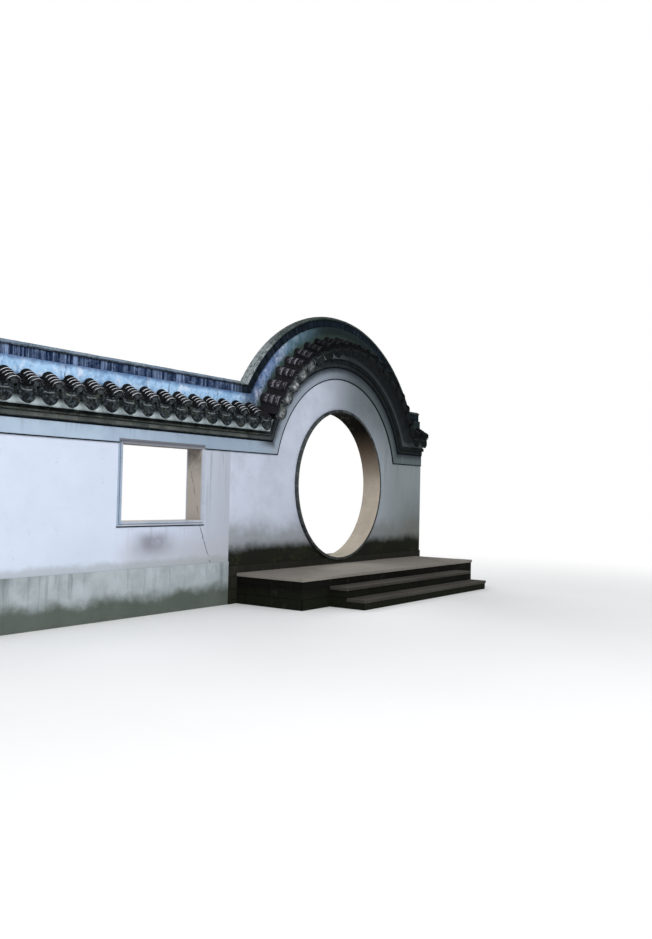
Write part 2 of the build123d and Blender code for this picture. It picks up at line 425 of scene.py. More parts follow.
class Nodes:
    """A tree of shader nodes, with a short call for each kind that the finishes need."""

    def __init__(self, tree):
        self.tree = tree

    def feed(self, socket, value):
        """Links a value that another node gives, and writes any other value down."""
        if isinstance(value, NodeSocket):
            self.tree.links.new(value, socket)
        else:
            socket.default_value = value

    def add(self, kind, inputs, **settings):
        node = self.tree.nodes.new(kind)
        for key, value in settings.items():
            setattr(node, key, value)
        for key, value in inputs.items():
            self.feed(node.inputs[key], value)
        return node.outputs

    def where(self):
        return self.add("ShaderNodeTexCoord", {})["Object"]

    def along(self, axis):
        return self.add("ShaderNodeSeparateXYZ", {"Vector": self.where()})[axis]

    def stored(self, label):
        """A value that the mesh holds for each of its points."""
        return self.add("ShaderNodeAttribute", {}, attribute_name=label)["Fac"]

    def maths(self, operation, first, second=0.0, clamp=False):
        return self.add("ShaderNodeMath", {0: first, 1: second}, operation=operation, use_clamp=clamp)[0]

    def plus(self, first, second):
        return self.maths("ADD", first, second)

    def minus(self, first, second):
        return self.maths("SUBTRACT", first, second)

    def product(self, first, second):
        return self.maths("MULTIPLY", first, second)

    def ratio(self, first, second):
        return self.maths("DIVIDE", first, second)

    def least(self, first, second):
        return self.maths("MINIMUM", first, second)

    def vector(self, operation, inputs, output=0):
        return self.add("ShaderNodeVectorMath", inputs, operation=operation)[output]

    def ramp(self, value, start, end, first=0.0, last=1.0):
        inputs = {"Value": value, "From Min": start, "From Max": end, "To Min": first, "To Max": last}
        return self.add("ShaderNodeMapRange", inputs, interpolation_type="SMOOTHSTEP")["Result"]

    def blend(self, mask, first, second):
        return self.add("ShaderNodeMix", {"Factor": mask, 6: first, 7: second}, data_type="RGBA")[2]

    def grain(self, scale, detail, rough, vector=None, twist=0.0):
        inputs = {"Scale": scale, "Detail": detail, "Roughness": rough, "Distortion": twist}
        inputs["Vector"] = vector if vector else self.where()
        return self.add("ShaderNodeTexNoise", inputs)["Fac"]

    def shake(self, amount, scale, detail, rough):
        """Grain around zero, up to half the amount either way."""
        return self.product(self.minus(self.grain(scale, detail, rough), 0.5), amount)


def group(name, sockets, *outputs):
    """An empty shader group: its nodes, what it is given and what it gives back."""
    tree = bpy.data.node_groups.new(name, "ShaderNodeTree")
    for label, value in sockets.items():
        kind = "NodeSocketVector" if isinstance(value, tuple) else "NodeSocketFloat"
        tree.interface.new_socket(name=label, in_out="INPUT", socket_type=kind).default_value = value
    for label in outputs:
        tree.interface.new_socket(name=label, in_out="OUTPUT", socket_type="NodeSocketFloat")
    return Nodes(tree), tree.nodes.new("NodeGroupInput").outputs, tree.nodes.new("NodeGroupOutput").inputs


def build_coping_height():
    """Height over the frieze line, level along the wing and measured outwards round the arch."""
    sockets = {"Frieze level": 0.0, "Centre level": 0.0, "Arch radius": 1.0}
    nodes, given, result = group("Height on the coping", sockets, "Height")
    level = nodes.minus(nodes.along("Z"), given["Frieze level"])
    rise = nodes.minus(nodes.along("Z"), given["Centre level"])
    flat = nodes.add("ShaderNodeCombineXYZ", {"X": nodes.along("X"), "Z": rise})[0]
    outward = nodes.minus(nodes.vector("LENGTH", {0: flat}, "Value"), given["Arch radius"])
    nodes.feed(result["Height"], nodes.least(level, outward))


def build_mottling():
    """Cloudy patches, with their size and how much of the surface they take."""
    nodes, given, result = group("Mottling", {"Scale": 1.0, "Cover": 0.5, "Softness": 0.15}, "Mask")
    edge = nodes.minus(1.0, given["Cover"])
    start = nodes.minus(edge, given["Softness"])
    end = nodes.plus(edge, given["Softness"])
    nodes.feed(result["Mask"], nodes.ramp(nodes.grain(given["Scale"], 6.0, 0.62), start, end))


def build_streaks():
    """Stains that run down from a level and fade."""
    sockets = {"Top": 1.0, "Length": 0.5, "Scale": 8.0, "Cover": 0.5}
    nodes, given, result = group("Drip streaks", sockets, "Mask")
    stretched = nodes.vector("MULTIPLY", {0: nodes.where(), 1: (1.0, 1.0, 0.06)})
    bands = nodes.grain(given["Scale"], 4.0, 0.7, stretched)
    reach = nodes.product(nodes.product(nodes.grain(3.0, 3.0, 0.6, stretched), given["Length"]), 2.0)
    below = nodes.minus(given["Top"], nodes.along("Z"))
    fade = nodes.ramp(nodes.ratio(below, reach), 0.0, 1.0, 1.0, 0.0)
    edge = nodes.minus(1.0, given["Cover"])
    streaks = nodes.product(nodes.ramp(bands, edge, nodes.plus(edge, 0.16)), fade)
    nodes.feed(result["Mask"], nodes.product(streaks, nodes.maths("GREATER_THAN", below, 0.0)))


def build_damp():
    """Moss and damp that climb from a level, with a ragged upper edge."""
    nodes, given, result = group("Rising damp", {"Level": 0.0, "Climb": 0.3, "Ragged": 0.5}, "Mask")
    above = nodes.ratio(nodes.minus(nodes.along("Z"), given["Level"]), given["Climb"])
    above = nodes.plus(above, nodes.product(nodes.shake(given["Ragged"], 2.2, 6.0, 0.65), 2.0))
    nodes.feed(result["Mask"], nodes.ramp(above, 0.55, 1.15, 1.0, 0.0))


def build_mark():
    """A wandering mark between two points of a face, thin as a crack or broad as a stain."""
    sockets = {"Start": (0.0, 0.0, 0.0), "End": (1.0, 0.0, 0.0), "Half width": 0.002, "Wander": 0.03}
    nodes, given, result = group("Drawn mark", sockets, "Mask")
    cloud = nodes.add("ShaderNodeTexNoise", {"Vector": nodes.where(), "Scale": 9.0, "Detail": 5.0})["Color"]
    shake = nodes.vector("SUBTRACT", {0: cloud, 1: (0.5, 0.5, 0.5)})
    shake = nodes.vector("SCALE", {0: shake, "Scale": given["Wander"]})
    point = nodes.vector("ADD", {0: nodes.where(), 1: shake})
    span = nodes.vector("SUBTRACT", {0: given["End"], 1: given["Start"]})
    offset = nodes.vector("SUBTRACT", {0: point, 1: given["Start"]})
    ahead = nodes.vector("DOT_PRODUCT", {0: offset, 1: span}, "Value")
    whole = nodes.vector("DOT_PRODUCT", {0: span, 1: span}, "Value")
    share = nodes.maths("DIVIDE", ahead, whole, clamp=True)
    nearest = nodes.vector("SCALE", {0: span, "Scale": share})
    away = nodes.vector("DISTANCE", {0: offset, 1: nearest}, "Value")
    nodes.feed(result["Mask"], nodes.ramp(nodes.ratio(away, given["Half width"]), 0.6, 1.4, 1.0, 0.0))


def build_lichen():
    """Small crusts and specks, with their size and cover."""
    nodes, given, result = group("Lichen", {"Scale": 30.0, "Cover": 0.4}, "Mask")
    specks = nodes.grain(given["Scale"], 5.0, 0.75, twist=0.6)
    patches = nodes.grain(nodes.product(given["Scale"], 0.13), 3.0, 0.5)
    both = nodes.plus(nodes.product(specks, 0.65), nodes.product(patches, 0.35))
    edge = nodes.minus(1.0, given["Cover"])
    nodes.feed(result["Mask"], nodes.ramp(both, nodes.minus(edge, 0.035), edge))


def build_wear_and_painted_light():
    """A mask of rubbed edges and of painted light and shade, from the value stored in the mesh and some grit.
    """
    nodes, given, result = group("Worn edges and painted light", {"Reach": 0.5, "Grit": 0.4, "Scale": 60.0}, "Mask")
    grit = nodes.shake(given["Grit"], given["Scale"], 4.0, 0.7)
    total = nodes.plus(nodes.stored("wear_and_painted_light"), nodes.product(grit, 2.0))
    edge = nodes.minus(1.0, given["Reach"])
    nodes.feed(result["Mask"], nodes.ramp(total, nodes.minus(edge, 0.15), nodes.plus(edge, 0.15)))


def build_relief():
    """The height of a trowelled or weathered surface, coarse and fine together."""
    sockets = {"Coarse scale": 3.0, "Fine scale": 80.0, "Fine share": 0.3}
    nodes, given, result = group("Surface relief", sockets, "Height")
    fine = nodes.product(nodes.grain(given["Fine scale"], 6.0, 0.7), given["Fine share"])
    nodes.feed(result["Height"], nodes.plus(nodes.grain(given["Coarse scale"], 5.0, 0.55), fine))


def build_joints():
    """Joints between laid stones on a face along the wall, and a shade for each stone."""
    sockets = {"Length": 0.6, "Height": 0.15, "Bottom": 0.0, "Half width": 0.004, "Ragged": 0.004}
    nodes, given, result = group("Stone joints", sockets, "Joint", "Stone")
    shake = nodes.product(nodes.shake(given["Ragged"], 14.0, 3.0, 0.6), 2.0)
    rise = nodes.plus(nodes.minus(nodes.along("Z"), given["Bottom"]), shake)
    turn = nodes.plus(nodes.along("X"), nodes.product(nodes.along("Y"), 0.7))
    course = nodes.maths("FLOOR", nodes.ratio(rise, given["Height"]))
    moved = nodes.plus(turn, nodes.product(course, nodes.product(given["Length"], 0.43)))
    moved = nodes.plus(moved, shake)
    number = nodes.maths("FLOOR", nodes.ratio(moved, given["Length"]))
    gaps = []
    for distance, pitch, passed in ((moved, given["Length"], number), (rise, given["Height"], course)):
        within = nodes.minus(distance, nodes.product(passed, pitch))
        gaps.append(nodes.least(within, nodes.minus(pitch, within)))
    width_share = nodes.ratio(nodes.least(*gaps), given["Half width"])
    nodes.feed(result["Joint"], nodes.ramp(width_share, 0.5, 1.5, 1.0, 0.0))
    key = nodes.add("ShaderNodeCombineXYZ", {"X": number, "Y": course, "Z": 0.5})[0]
    nodes.feed(result["Stone"], nodes.add("ShaderNodeTexWhiteNoise", {"Vector": key})["Value"])


EFFECTS = (build_coping_height, build_mottling, build_streaks, build_damp, build_mark, build_lichen,
           build_wear_and_painted_light, build_relief, build_joints)


class Finish(Nodes):
    """A material in the making: a colour that others are laid over, one after the other."""

    def __init__(self, name, base, rough=0.85, shine=0.25):
        self.material = bpy.data.materials.new(name)
        self.material.use_nodes = True
        super().__init__(self.material.node_tree)
        self.shader = self.tree.nodes["Principled BSDF"]
        self.shader.inputs["Roughness"].default_value = rough
        self.shader.inputs["Specular IOR Level"].default_value = shine
        self.colour = shade(base)

    def cover(self, colour, strength, *masks):
        """Lays a colour where all the masks meet."""
        mask = self.both(*masks)
        if strength != 1.0:
            mask = self.product(mask, strength)
        self.colour = self.blend(mask, self.colour, shade(colour))
        self.feed(self.shader.inputs["Base Color"], self.colour)

    def both(self, mask, *others):
        for other in others:
            mask = self.maths("MULTIPLY", mask, other, clamp=True)
        return mask

    def by_tone(self, pale):
        """Each tile or brick has a shade of its own, up to a paler one."""
        self.cover(pale, 1.0, self.stored("tone"))

    def between(self, axis, start, end):
        """A mask that grows from 0 to 1 along an axis."""
        return self.ramp(self.along(axis), start, end)

    def on_arch(self):
        """A mask that grows from the valley towards the arch."""
        return self.between("X", -2.25, -1.85)

    def coping_height(self, start, end, ragged=0.0):
        """A mask that grows from 0 to 1 between two heights over the frieze line."""
        height = self.effect("Height on the coping", frieze_z, centre_z, arch_radius)["Height"]
        if ragged:
            height = self.plus(height, self.shake(ragged, 11.0, 5.0, 0.65))
        return self.ramp(height, start, end)

    def effect(self, name, *values):
        """The outputs of a shared effect, with its inputs filled in their order."""
        return self.add("ShaderNodeGroup", dict(enumerate(values)), node_tree=bpy.data.node_groups[name])

    def mottling(self, scale, cover, softness):
        return self.effect("Mottling", scale, cover, softness)["Mask"]

    def lichen(self, scale, cover):
        return self.effect("Lichen", scale, cover)["Mask"]

    # The stored value marks rubbed edges, and also painted light: highlights on tile crowns and tongues,
    # shade in the cap's undercut and in the frame's groove.
    def worn_and_painted_light(self, reach, grit, scale):
        return self.effect("Worn edges and painted light", reach, grit, scale)["Mask"]

    def drips(self, top, length, scale, cover):
        return self.effect("Drip streaks", top, length, scale, cover)["Mask"]

    def damp(self, level, climb, ragged):
        return self.effect("Rising damp", level, climb, ragged)["Mask"]

    def mark(self, start, end, half_width, wander):
        return self.effect("Drawn mark", start, end, half_width, wander)["Mask"]

    def relief(self, coarse, fine, fine_share, strength, distance, sunk=None):
        height = self.effect("Surface relief", coarse, fine, fine_share)["Height"]
        if sunk is not None:
            height = self.minus(height, sunk)
        bump = self.add("ShaderNodeBump", {"Height": height, "Strength": strength, "Distance": distance})
        self.feed(self.shader.inputs["Normal"], bump["Normal"])


def garden_plaster():
    """Limewash of the garden wall, pale and bluish, stained below the window and the eave."""
    wall = Finish("garden_plaster", colours().garden_wall)
    wall.cover("c9d3e5", 0.8, wall.mottling(0.7, 0.5, 0.25))
    wall.cover("c8cfdc", 0.35, wall.mottling(4.0, 0.42, 0.2))
    near_gate = wall.between("X", window_right - 0.9, -gate_half)
    wall.cover("a9adb8", 0.75, near_gate)
    wall.cover("72767f", 0.6, wall.drips(frieze_z, 1.3, 9.0, 0.5), near_gate)
    by_window = wall.both(wall.between("X", window_left - 0.15, window_left + 0.05),
                          wall.between("X", window_right + 0.15, window_right - 0.05))
    wall.cover("a19fa8", 0.5, wall.drips(window_sill - 0.06, 0.5, 7.0, 0.5), by_window)
    wall.cover("b4b6bf", 0.7, wall.between("X", window_left - 0.2, window_left + 0.3),
               wall.between("Z", window_sill - 0.1, window_sill - 0.4))
    wall.cover("6f6b78", 0.7, wall.between("X", window_left + 0.1, window_left + 0.5),
               wall.between("X", window_right - 0.35, window_left + 0.6),
               wall.between("Z", window_sill - 0.07, window_sill - 0.25),
               wall.between("Z", window_sill - 0.52, window_sill - 0.28), wall.mottling(6.0, 0.75, 0.35))
    wall.cover("8f959c", 0.4, wall.lichen(45.0, 0.36))
    wall.cover("9aa09e", 0.55, wall.damp(plinth_top - 0.05, 0.16, 0.6))
    depth = wall.maths("ABSOLUTE", wall.along("Y"))
    before_window = (left_end + window_left) / 2
    reveal = wall.both(wall.ramp(depth, wall_half - 0.002, wall_half - 0.004),
                       wall.between("X", before_window, before_window + 0.1))
    wall.cover("b3aba2", 1.0, reveal)
    # Painted shade: the window reveal darkens towards the head.
    wall.cover("4a443e", 0.7, reveal, wall.between("Z", window_head - 0.45, window_head - 0.02),
               wall.mottling(6.0, 0.6, 0.2))
    for start, end, half_width in (((-3.36, -wall_half, 1.12), (-3.13, -wall_half, 0.6), 0.006),
                                   ((window_right, 0.06, 1.85), (window_right, -0.10, 1.25), 0.004)):
        wall.cover("33353a", 1.0, wall.mark(start, end, half_width, 0.05))
    wall.relief(2.5, 60.0, 0.12, 0.5, 0.008)


def gate_plaster():
    """Plaster round the moon opening, pale to the left, grey-green to the right with algae and painted shade
    of trees, its foot mossy.
    """
    wall = Finish("gate_plaster", colours().gate_wall, 0.9, 0.1)
    wall.cover("b3bac9", 0.6, wall.mottling(1.1, 0.5, 0.25))
    # Painted shade of trees, with some algae: grey-green and darker to the right, over the crown and at the
    # far right.
    right = wall.between("X", 0.1, 1.9)
    wall.cover("7d8685", 0.87, right)
    wall.cover("515b5b", 0.85, wall.between("X", -0.9, 0.6),
               wall.between("Z", centre_z + 0.2, centre_z + 1.4))
    wall.cover("5d605c", 0.7, wall.between("X", 1.75, 2.5), wall.between("Z", 1.9, 0.9))
    wall.cover("5d6362", 0.5, wall.drips(frieze_z + 1.0, 2.6, 6.5, 0.47), right)
    wall.cover("9397a0", 0.3, wall.mottling(3.5, 0.4, 0.2))
    wall.cover("6c7069", 0.4, wall.lichen(38.0, 0.36))
    wall.cover("6f7069", 0.6, wall.damp(base_top, 0.65, 0.5))
    moss = wall.damp(base_top, 0.32, 0.35)
    wall.cover("131409", 0.98, moss)
    wall.cover("33371d", 0.6, moss, wall.lichen(26.0, 0.42))
    wall.relief(2.2, 55.0, 0.12, 0.5, 0.008)


def frieze_plaster():
    """Limewash of the frieze, on the wing and round the arch."""
    wall = Finish("frieze_plaster", colours().frieze)
    wall.cover("98a9be", 0.6, wall.mottling(2.2, 0.5, 0.2))
    wall.cover("8c9daf", 0.65, wall.between("X", window_left - 0.4, window_right))
    wall.cover("979da6", 0.65, wall.between("X", -2.4, -1.6))
    # Painted shade of trees: darker over the crown and to the right.
    wall.cover("3d4747", 0.9, wall.between("X", -0.9, 0.6))
    wall.cover("5f6a6b", 0.7, wall.between("X", 1.3, 1.9))
    wall.cover("8592a4", 0.3, wall.drips(frieze_z + string_low, 0.25, 12.0, 0.5))
    # Painted shadow of the eave: on the arch the frieze darkens towards the string course.
    wall.cover("2d343c", 0.9, wall.on_arch(), wall.coping_height(0.06, 0.17, 0.06))
    wall.cover("7c828a", 0.4, wall.lichen(40.0, 0.34))
    wall.relief(4.0, 60.0, 0.2, 0.5, 0.006)


def coping_plaster():
    """White plaster that shows in triangles between the drip tongues, near black under the eave and darker on
    the arch and over the crown with painted shade.
    """
    wall = Finish("coping_limewash", "dfeef2")
    wall.cover("a9b9be", 0.5, wall.mottling(9.0, 0.45, 0.2))
    # Painted shade: near black under the eave, darker on the arch and darker still over the crown.
    wall.cover("161e1d", 0.97, wall.coping_height(0.37, 0.445, 0.02))
    wall.cover("596064", 0.6, wall.on_arch())
    wall.cover("23282a", 0.85, wall.between("X", -0.9, 0.2))
    wall.relief(9.0, 70.0, 0.2, 0.5, 0.006)


def plinth_plaster():
    """Plaster at the foot of the garden wall, mossy and streaked."""
    plinth = Finish("plinth_plaster", "b3bcc0")
    plinth.cover("8c9597", 0.8, plinth.mottling(2.6, 0.5, 0.2))
    plinth.cover("596060", 0.6, plinth.drips(plinth_top + 0.02, 0.6, 7.0, 0.5))
    plinth.cover("3e4638", 0.85, plinth.damp(0.0, 0.32, 0.6))
    plinth.relief(4.0, 60.0, 0.3, 0.6, 0.008)


def ridge_plaster():
    """Weathered plaster under the ridge, pale blue with deep blue stains, dark and green on the arch."""
    wall = Finish("ridge_limewash", colours().ridge_plaster, 0.9, 0.1)
    for scale, cover, softness, colour, strength in (
            (1.5, 0.5, 0.2, "7ba6d0", 0.75), (4.5, 0.38, 0.1, "4a6894", 0.6), (8.0, 0.42, 0.1, "dce7f8", 0.8),
            (17.0, 0.42, 0.08, "5f7eae", 0.45), (22.0, 0.4, 0.08, "e6eefa", 0.45)):
        wall.cover(colour, strength, wall.mottling(scale, cover, softness))
    wall.cover("3a5480", 0.8, wall.coping_height(0.79, 0.85, 0.1))
    wall.cover("33425e", 0.5, wall.coping_height(0.70, 0.665, 0.05))
    arch = wall.between("X", -2.6, -2.3)
    wall.cover("6478a0", 0.75, arch)
    wall.cover("2c4250", 0.6, arch, wall.between("X", -1.95, -2.3))
    for scale, colour in ((5.0, "22324a"), (6.5, "c4cbe2"), (19.0, "33466a")):
        wall.cover(colour, 0.75, arch, wall.mottling(scale, 0.44, 0.1))
    wall.cover("1f2a30", 0.85, arch, wall.coping_height(0.74, 0.63, 0.08))
    wall.cover("4f6f72", 0.7, wall.between("X", -2.0, -1.2))
    # Painted shade: near black over the right of the arch.
    wall.cover("141c1a", 0.96, wall.between("X", -1.5, -0.4))
    wall.cover("39483f", 0.75, wall.between("X", -2.75, -2.3), wall.coping_height(0.78, 0.66, 0.1))
    for x in (-3.95, -3.02, -5.6):
        start = (x, -ridge_half, frieze_z + 0.87)
        end = (x - 0.03, -ridge_half, frieze_z + 0.70)
        wall.cover("22304a", 0.85, wall.mark(start, end, 0.007, 0.04))
    wall.relief(7.0, 70.0, 0.3, 0.6, 0.008)


def roof_tile():
    """Grey fired clay, near black with lichen and painted shadow behind each tile's front, nearly white along
    its rubbed edges and the painted highlights on the tile crowns, near black over the right of the arch with
    painted shade.
    """
    tile = Finish("roof_tile_clay", colours().roof_tile, 0.9, 0.03)
    tile.by_tone("5b6266")
    tile.cover("1c1b1c", 0.7, tile.mottling(14.0, 0.45, 0.12))
    tile.cover("3d4240", 0.4, tile.lichen(60.0, 0.4))
    arch = tile.between("X", -2.5, -2.2)
    wing = tile.minus(1.0, arch)
    # Rubbed edges and painted light: pale along the tile fronts, strongest on the crowns, from the stored
    # value.
    tile.cover(colours().tile_edge, 0.94, tile.worn_and_painted_light(0.48, 0.5, 50.0), wing)
    tile.cover("332f35", 0.35, arch)
    tile.cover("8f8a94", 0.85, tile.worn_and_painted_light(0.5, 0.5, 34.0), arch)
    # Painted shade: near black over the right of the arch.
    tile.cover("0d1110", 0.88, tile.between("X", -1.8, -0.8))
    tile.relief(25.0, 150.0, 0.4, 0.6, 0.003)


def tongue_tile():
    """Clay of the drip tongues, dark and green on the wing, with painted light on the faces of the tongues on
    the arch's left.
    """
    tile = Finish("drip_tongue_clay", "191b1c", 0.9, 0.03)
    # The stored tone paints light on the faces of the tongues on the arch's left and shade round their edges.
    tile.by_tone("dcdde0")
    tile.cover("13171a", 0.8, tile.mottling(20.0, 0.55, 0.08))
    tile.cover("56606a", 0.5, tile.mottling(28.0, 0.45, 0.08))
    tile.cover("4a5046", 0.6, tile.lichen(48.0, 0.43))
    # Painted highlight: pale along a stripe near the top of each tongue, with some grit.
    tile.cover("8f9697", 0.6, tile.worn_and_painted_light(0.45, 0.5, 60.0))
    # Painted shade: near black over the right of the arch.
    tile.cover("0e1211", 0.85, tile.between("X", -1.5, -0.7))
    tile.relief(25.0, 150.0, 0.4, 0.6, 0.003)


def bed_tile():
    """Dark bed under the rows."""
    tile = Finish("tile_bed", "0c0e10", 0.95, 0.03)
    tile.cover("181b1c", 1.0, tile.mottling(18.0, 0.5, 0.15))
    tile.relief(20.0, 120.0, 0.4, 0.6, 0.004)


def standing_tile():
    """Tiles set on edge under the ridge cap, slate blue with pale streaks, with painted shade under the cap
    and near black on the arch.
    """
    tile = Finish("standing_tile", colours().standing_tile, 0.9, 0.05)
    tile.by_tone("8ea4c8")
    tile.cover("172948", 0.75, tile.mottling(3.5, 0.5, 0.12))
    tile.cover("93a6cc", 0.35, tile.mottling(13.0, 0.4, 0.1))
    # Painted shadow under the cap.
    tile.cover("0a0e16", 0.8, tile.coping_height(0.945, 0.975))
    # Painted shade: near black on the arch.
    tile.cover("0c1315", 0.92, tile.between("X", -2.8, -2.4))
    tile.relief(20.0, 120.0, 0.4, 0.5, 0.003)


def cap_lime():
    """Lime cap of the ridge, blue grey on the wing and paler on the arch, with lichen, and with painted shade
    across the arch and near black in its undercut and groove.
    """
    cap = Finish("ridge_cap_lime", colours().ridge_cap, 0.9, 0.1)
    arch = cap.between("X", -2.9, -2.3)
    cap.cover("5c6d7c", 0.7, cap.mottling(5.0, 0.5, 0.15))
    cap.cover("98a4a8", 0.5, cap.lichen(24.0, 0.43))
    cap.cover("a4abab", 0.8, arch)
    cap.cover("323c38", 0.6, cap.lichen(29.0, 0.42))
    cap.cover("2c3632", 0.7, arch, cap.lichen(20.0, 0.47))
    # Painted shade: darker across the arch towards its right.
    cap.cover("28332f", 0.85, cap.between("X", -2.3, -1.1))
    # Painted shadow: near black in the undercut under the upper step and in the groove along the top, where
    # the stored value is high.
    cap.cover("101517", 0.95, cap.worn_and_painted_light(0.4, 0.3, 30.0))
    cap.relief(12.0, 90.0, 0.4, 0.7, 0.006)


def fired_brick(name, dark, pale, right_dark, *lines):
    """Moulded brick of the cornice, with lines of another shade from one height to another."""
    brick = Finish(name, dark, 0.9, 0.05)
    brick.by_tone(pale)
    for start, end, colour in lines:
        brick.cover(colour, 0.85, brick.coping_height(start, end, 0.006))
    # Painted shadow of the eave on the arch.
    brick.cover("2b3136", 0.75, brick.on_arch())
    brick.cover(dark, 0.7, brick.mottling(9.0, 0.45, 0.15))
    brick.cover("6b6e6a", 0.3, brick.lichen(50.0, 0.4))
    # Painted shade: darker from the crown to the right.
    brick.cover("15191a", right_dark, brick.between("X", -0.8, 0.6))
    brick.relief(18.0, 120.0, 0.4, 0.5, 0.003)


def cornice_bricks():
    """The string course, dark along both its edges with painted shadow under the band and along the fillet
    below, and the black band over it with a pale line.
    """
    fired_brick("string_clay", "4b5150", "6d716d", 0.8,
                (band_low - 0.018, band_low - 0.010, "101313"),
                (string_low + 0.015, string_low + 0.009, "0c1116"))
    fired_brick("band_clay", "0c0f0f", "1b201f", 0.6,
                (band_low + 0.019, band_low + 0.013, "565c56"))


def line_paint_and_shadow():
    """Nearly black paint of the thin fillets, which also stands for the painted shadow lines under the frieze
    band, the string course and the window frame.
    """
    paint = Finish("fillet_paint_and_shadow", "0b1118", 0.9, 0.05)
    paint.cover("333b46", 0.4, paint.mottling(11.0, 0.35, 0.15))
    paint.relief(30.0, 140.0, 0.3, 0.4, 0.002)


def frame_brick():
    """Moulded brick of the window frame, blue grey and stained along its head."""
    brick = Finish("frame_clay", colours().window_frame, 0.9, 0.1)
    brick.cover("a3abb8", 0.8, brick.mottling(3.0, 0.5, 0.2))
    brick.cover("94a8bd", 0.7, brick.between("X", window_left + 0.05, window_left - 0.02))
    brick.cover("67656b", 0.85, brick.between("Z", window_head - 0.02, window_head + 0.02))
    # Painted shade: darker in the groove of the moulding and along its outer side, where the stored value is
    # high.
    brick.cover("4e5664", 0.6, brick.worn_and_painted_light(0.4, 0.4, 50.0))
    brick.cover("5f646c", 0.5, brick.lichen(45.0, 0.4))
    brick.relief(14.0, 110.0, 0.35, 0.5, 0.003)


def ring_brick():
    """Dark grey brick of the ring round the opening."""
    brick = Finish("ring_clay", colours().ring, 0.85, 0.15)
    brick.by_tone("3f4345")
    brick.cover("565c5c", 0.5, brick.mottling(5.0, 0.45, 0.2))
    brick.cover("2e3122", 0.5, brick.between("Z", centre_z - 0.7, ring_bottom))
    brick.cover("7c8384", 0.2, brick.worn_and_painted_light(0.35, 0.4, 60.0))
    brick.relief(16.0, 110.0, 0.35, 0.5, 0.003)


def soffit_plaster():
    """Plaster inside the opening, cream below and brown to near black above with painted shade."""
    wall = Finish("soffit_limewash", colours().soffit, 0.9, 0.06)
    wall.cover("a89d8e", 0.6, wall.mottling(2.5, 0.5, 0.2))
    # Painted shade: brown and then near black towards the top of the opening.
    wall.cover("54463a", 0.95, wall.between("Z", centre_z - 0.25, centre_z + 0.7))
    wall.cover("0b0b08", 0.98, wall.between("Z", centre_z + 0.5, centre_z + 1.0))
    wall.cover("8f8f7c", 0.5, wall.between("Z", centre_z - 0.9, ring_bottom))
    wall.cover("77705f", 0.5, wall.lichen(34.0, 0.38))
    wall.relief(3.5, 60.0, 0.25, 0.5, 0.006)


def drawn_stone(name, base, other, courses, joint, green):
    """Worked stone with its joints drawn, its courses given by length, height and bottom."""
    stones = Finish(name, base, 0.9, 0.06)
    drawn = stones.effect("Stone joints", *courses)
    stones.cover(other, 0.8, drawn["Stone"])
    stones.cover(other, 0.5, stones.mottling(4.0, 0.48, 0.2))
    stones.cover("5d5e57", 0.25, stones.lichen(42.0, 0.38))
    stones.cover("1f2316", green, stones.damp(0.0, 0.28, 0.6))
    stones.cover(joint, 1.0, drawn["Joint"])
    stones.relief(10.0, 90.0, 0.5, 0.5, 0.004, drawn["Joint"])


def laid_stone(name, base, other):
    """Worked stone whose stones are pieces of their own, each with its shade."""
    stones = Finish(name, base, 0.9, 0.06)
    stones.by_tone(other)
    stones.cover(other, 0.5, stones.mottling(4.0, 0.48, 0.2))
    stones.cover("5d5e57", 0.25, stones.lichen(42.0, 0.38))
    stones.cover("8a8882", 0.35, stones.worn_and_painted_light(0.35, 0.4, 40.0))
    stones.relief(10.0, 90.0, 0.5, 0.5, 0.004)


def stonework():
    """The base course, the faces under the landing, its slabs and the treads."""
    drawn_stone("base_stone", "20201d", "2d2c27", (0.62, 0.16, base_top - 0.16), "14150f", 0.6)
    # Painted shade: the faces under the landing and the steps are near black.
    drawn_stone("riser_stone", "0a0a08", "131210", (0.7, 0.145, 0.0), "060605", 0.4)
    laid_stone("slab_stone", "7b7670", "8d877f")
    laid_stone("tread_stone", "393732", "494640")


FINISHES = (garden_plaster, gate_plaster, frieze_plaster, coping_plaster, plinth_plaster, ridge_plaster,
            roof_tile, tongue_tile, bed_tile, standing_tile, cap_lime, cornice_bricks, line_paint_and_shadow,
            frame_brick, ring_brick, soffit_plaster, stonework)


def coloured(name, code):
    return FloatVectorProperty(name=name, description=name + " before weathering", subtype="COLOR",
                               size=3, min=0.0, max=1.0, default=tint(code))


class MoonGateColours(PropertyGroup):
    """Colours that a user would change."""
    garden_wall: coloured("Garden wall", "d4ddee")
    gate_wall: coloured("Gate wall", "ced5e5")
    frieze: coloured("Frieze", "b0c2d4")
    ridge_plaster: coloured("Ridge plaster", "aed2f2")
    roof_tile: coloured("Darkest roof tiles", "08090c")
    # Pale of the rubbed tile edges and of the painted highlights on the tile crowns.
    tile_edge: coloured("Worn and lit tile edges", "ebedf3")
    standing_tile: coloured("Darkest standing tiles", "13223f")
    ridge_cap: coloured("Ridge cap", "7f8ea2")
    window_frame: coloured("Window frame", "bcc2cd")
    ring: coloured("Darkest ring bricks", "25282a")
    soffit: coloured("Soffit", "c6bbac")


def sized(name, default, lowest, highest, text):
    return FloatProperty(name=name, description=text, default=default, min=lowest, max=highest,
                         unit="LENGTH", subtype="DISTANCE")


def counted(name, default):
    return IntProperty(name=name, description="Cover tiles from ridge to eave", default=default, min=2, max=9)


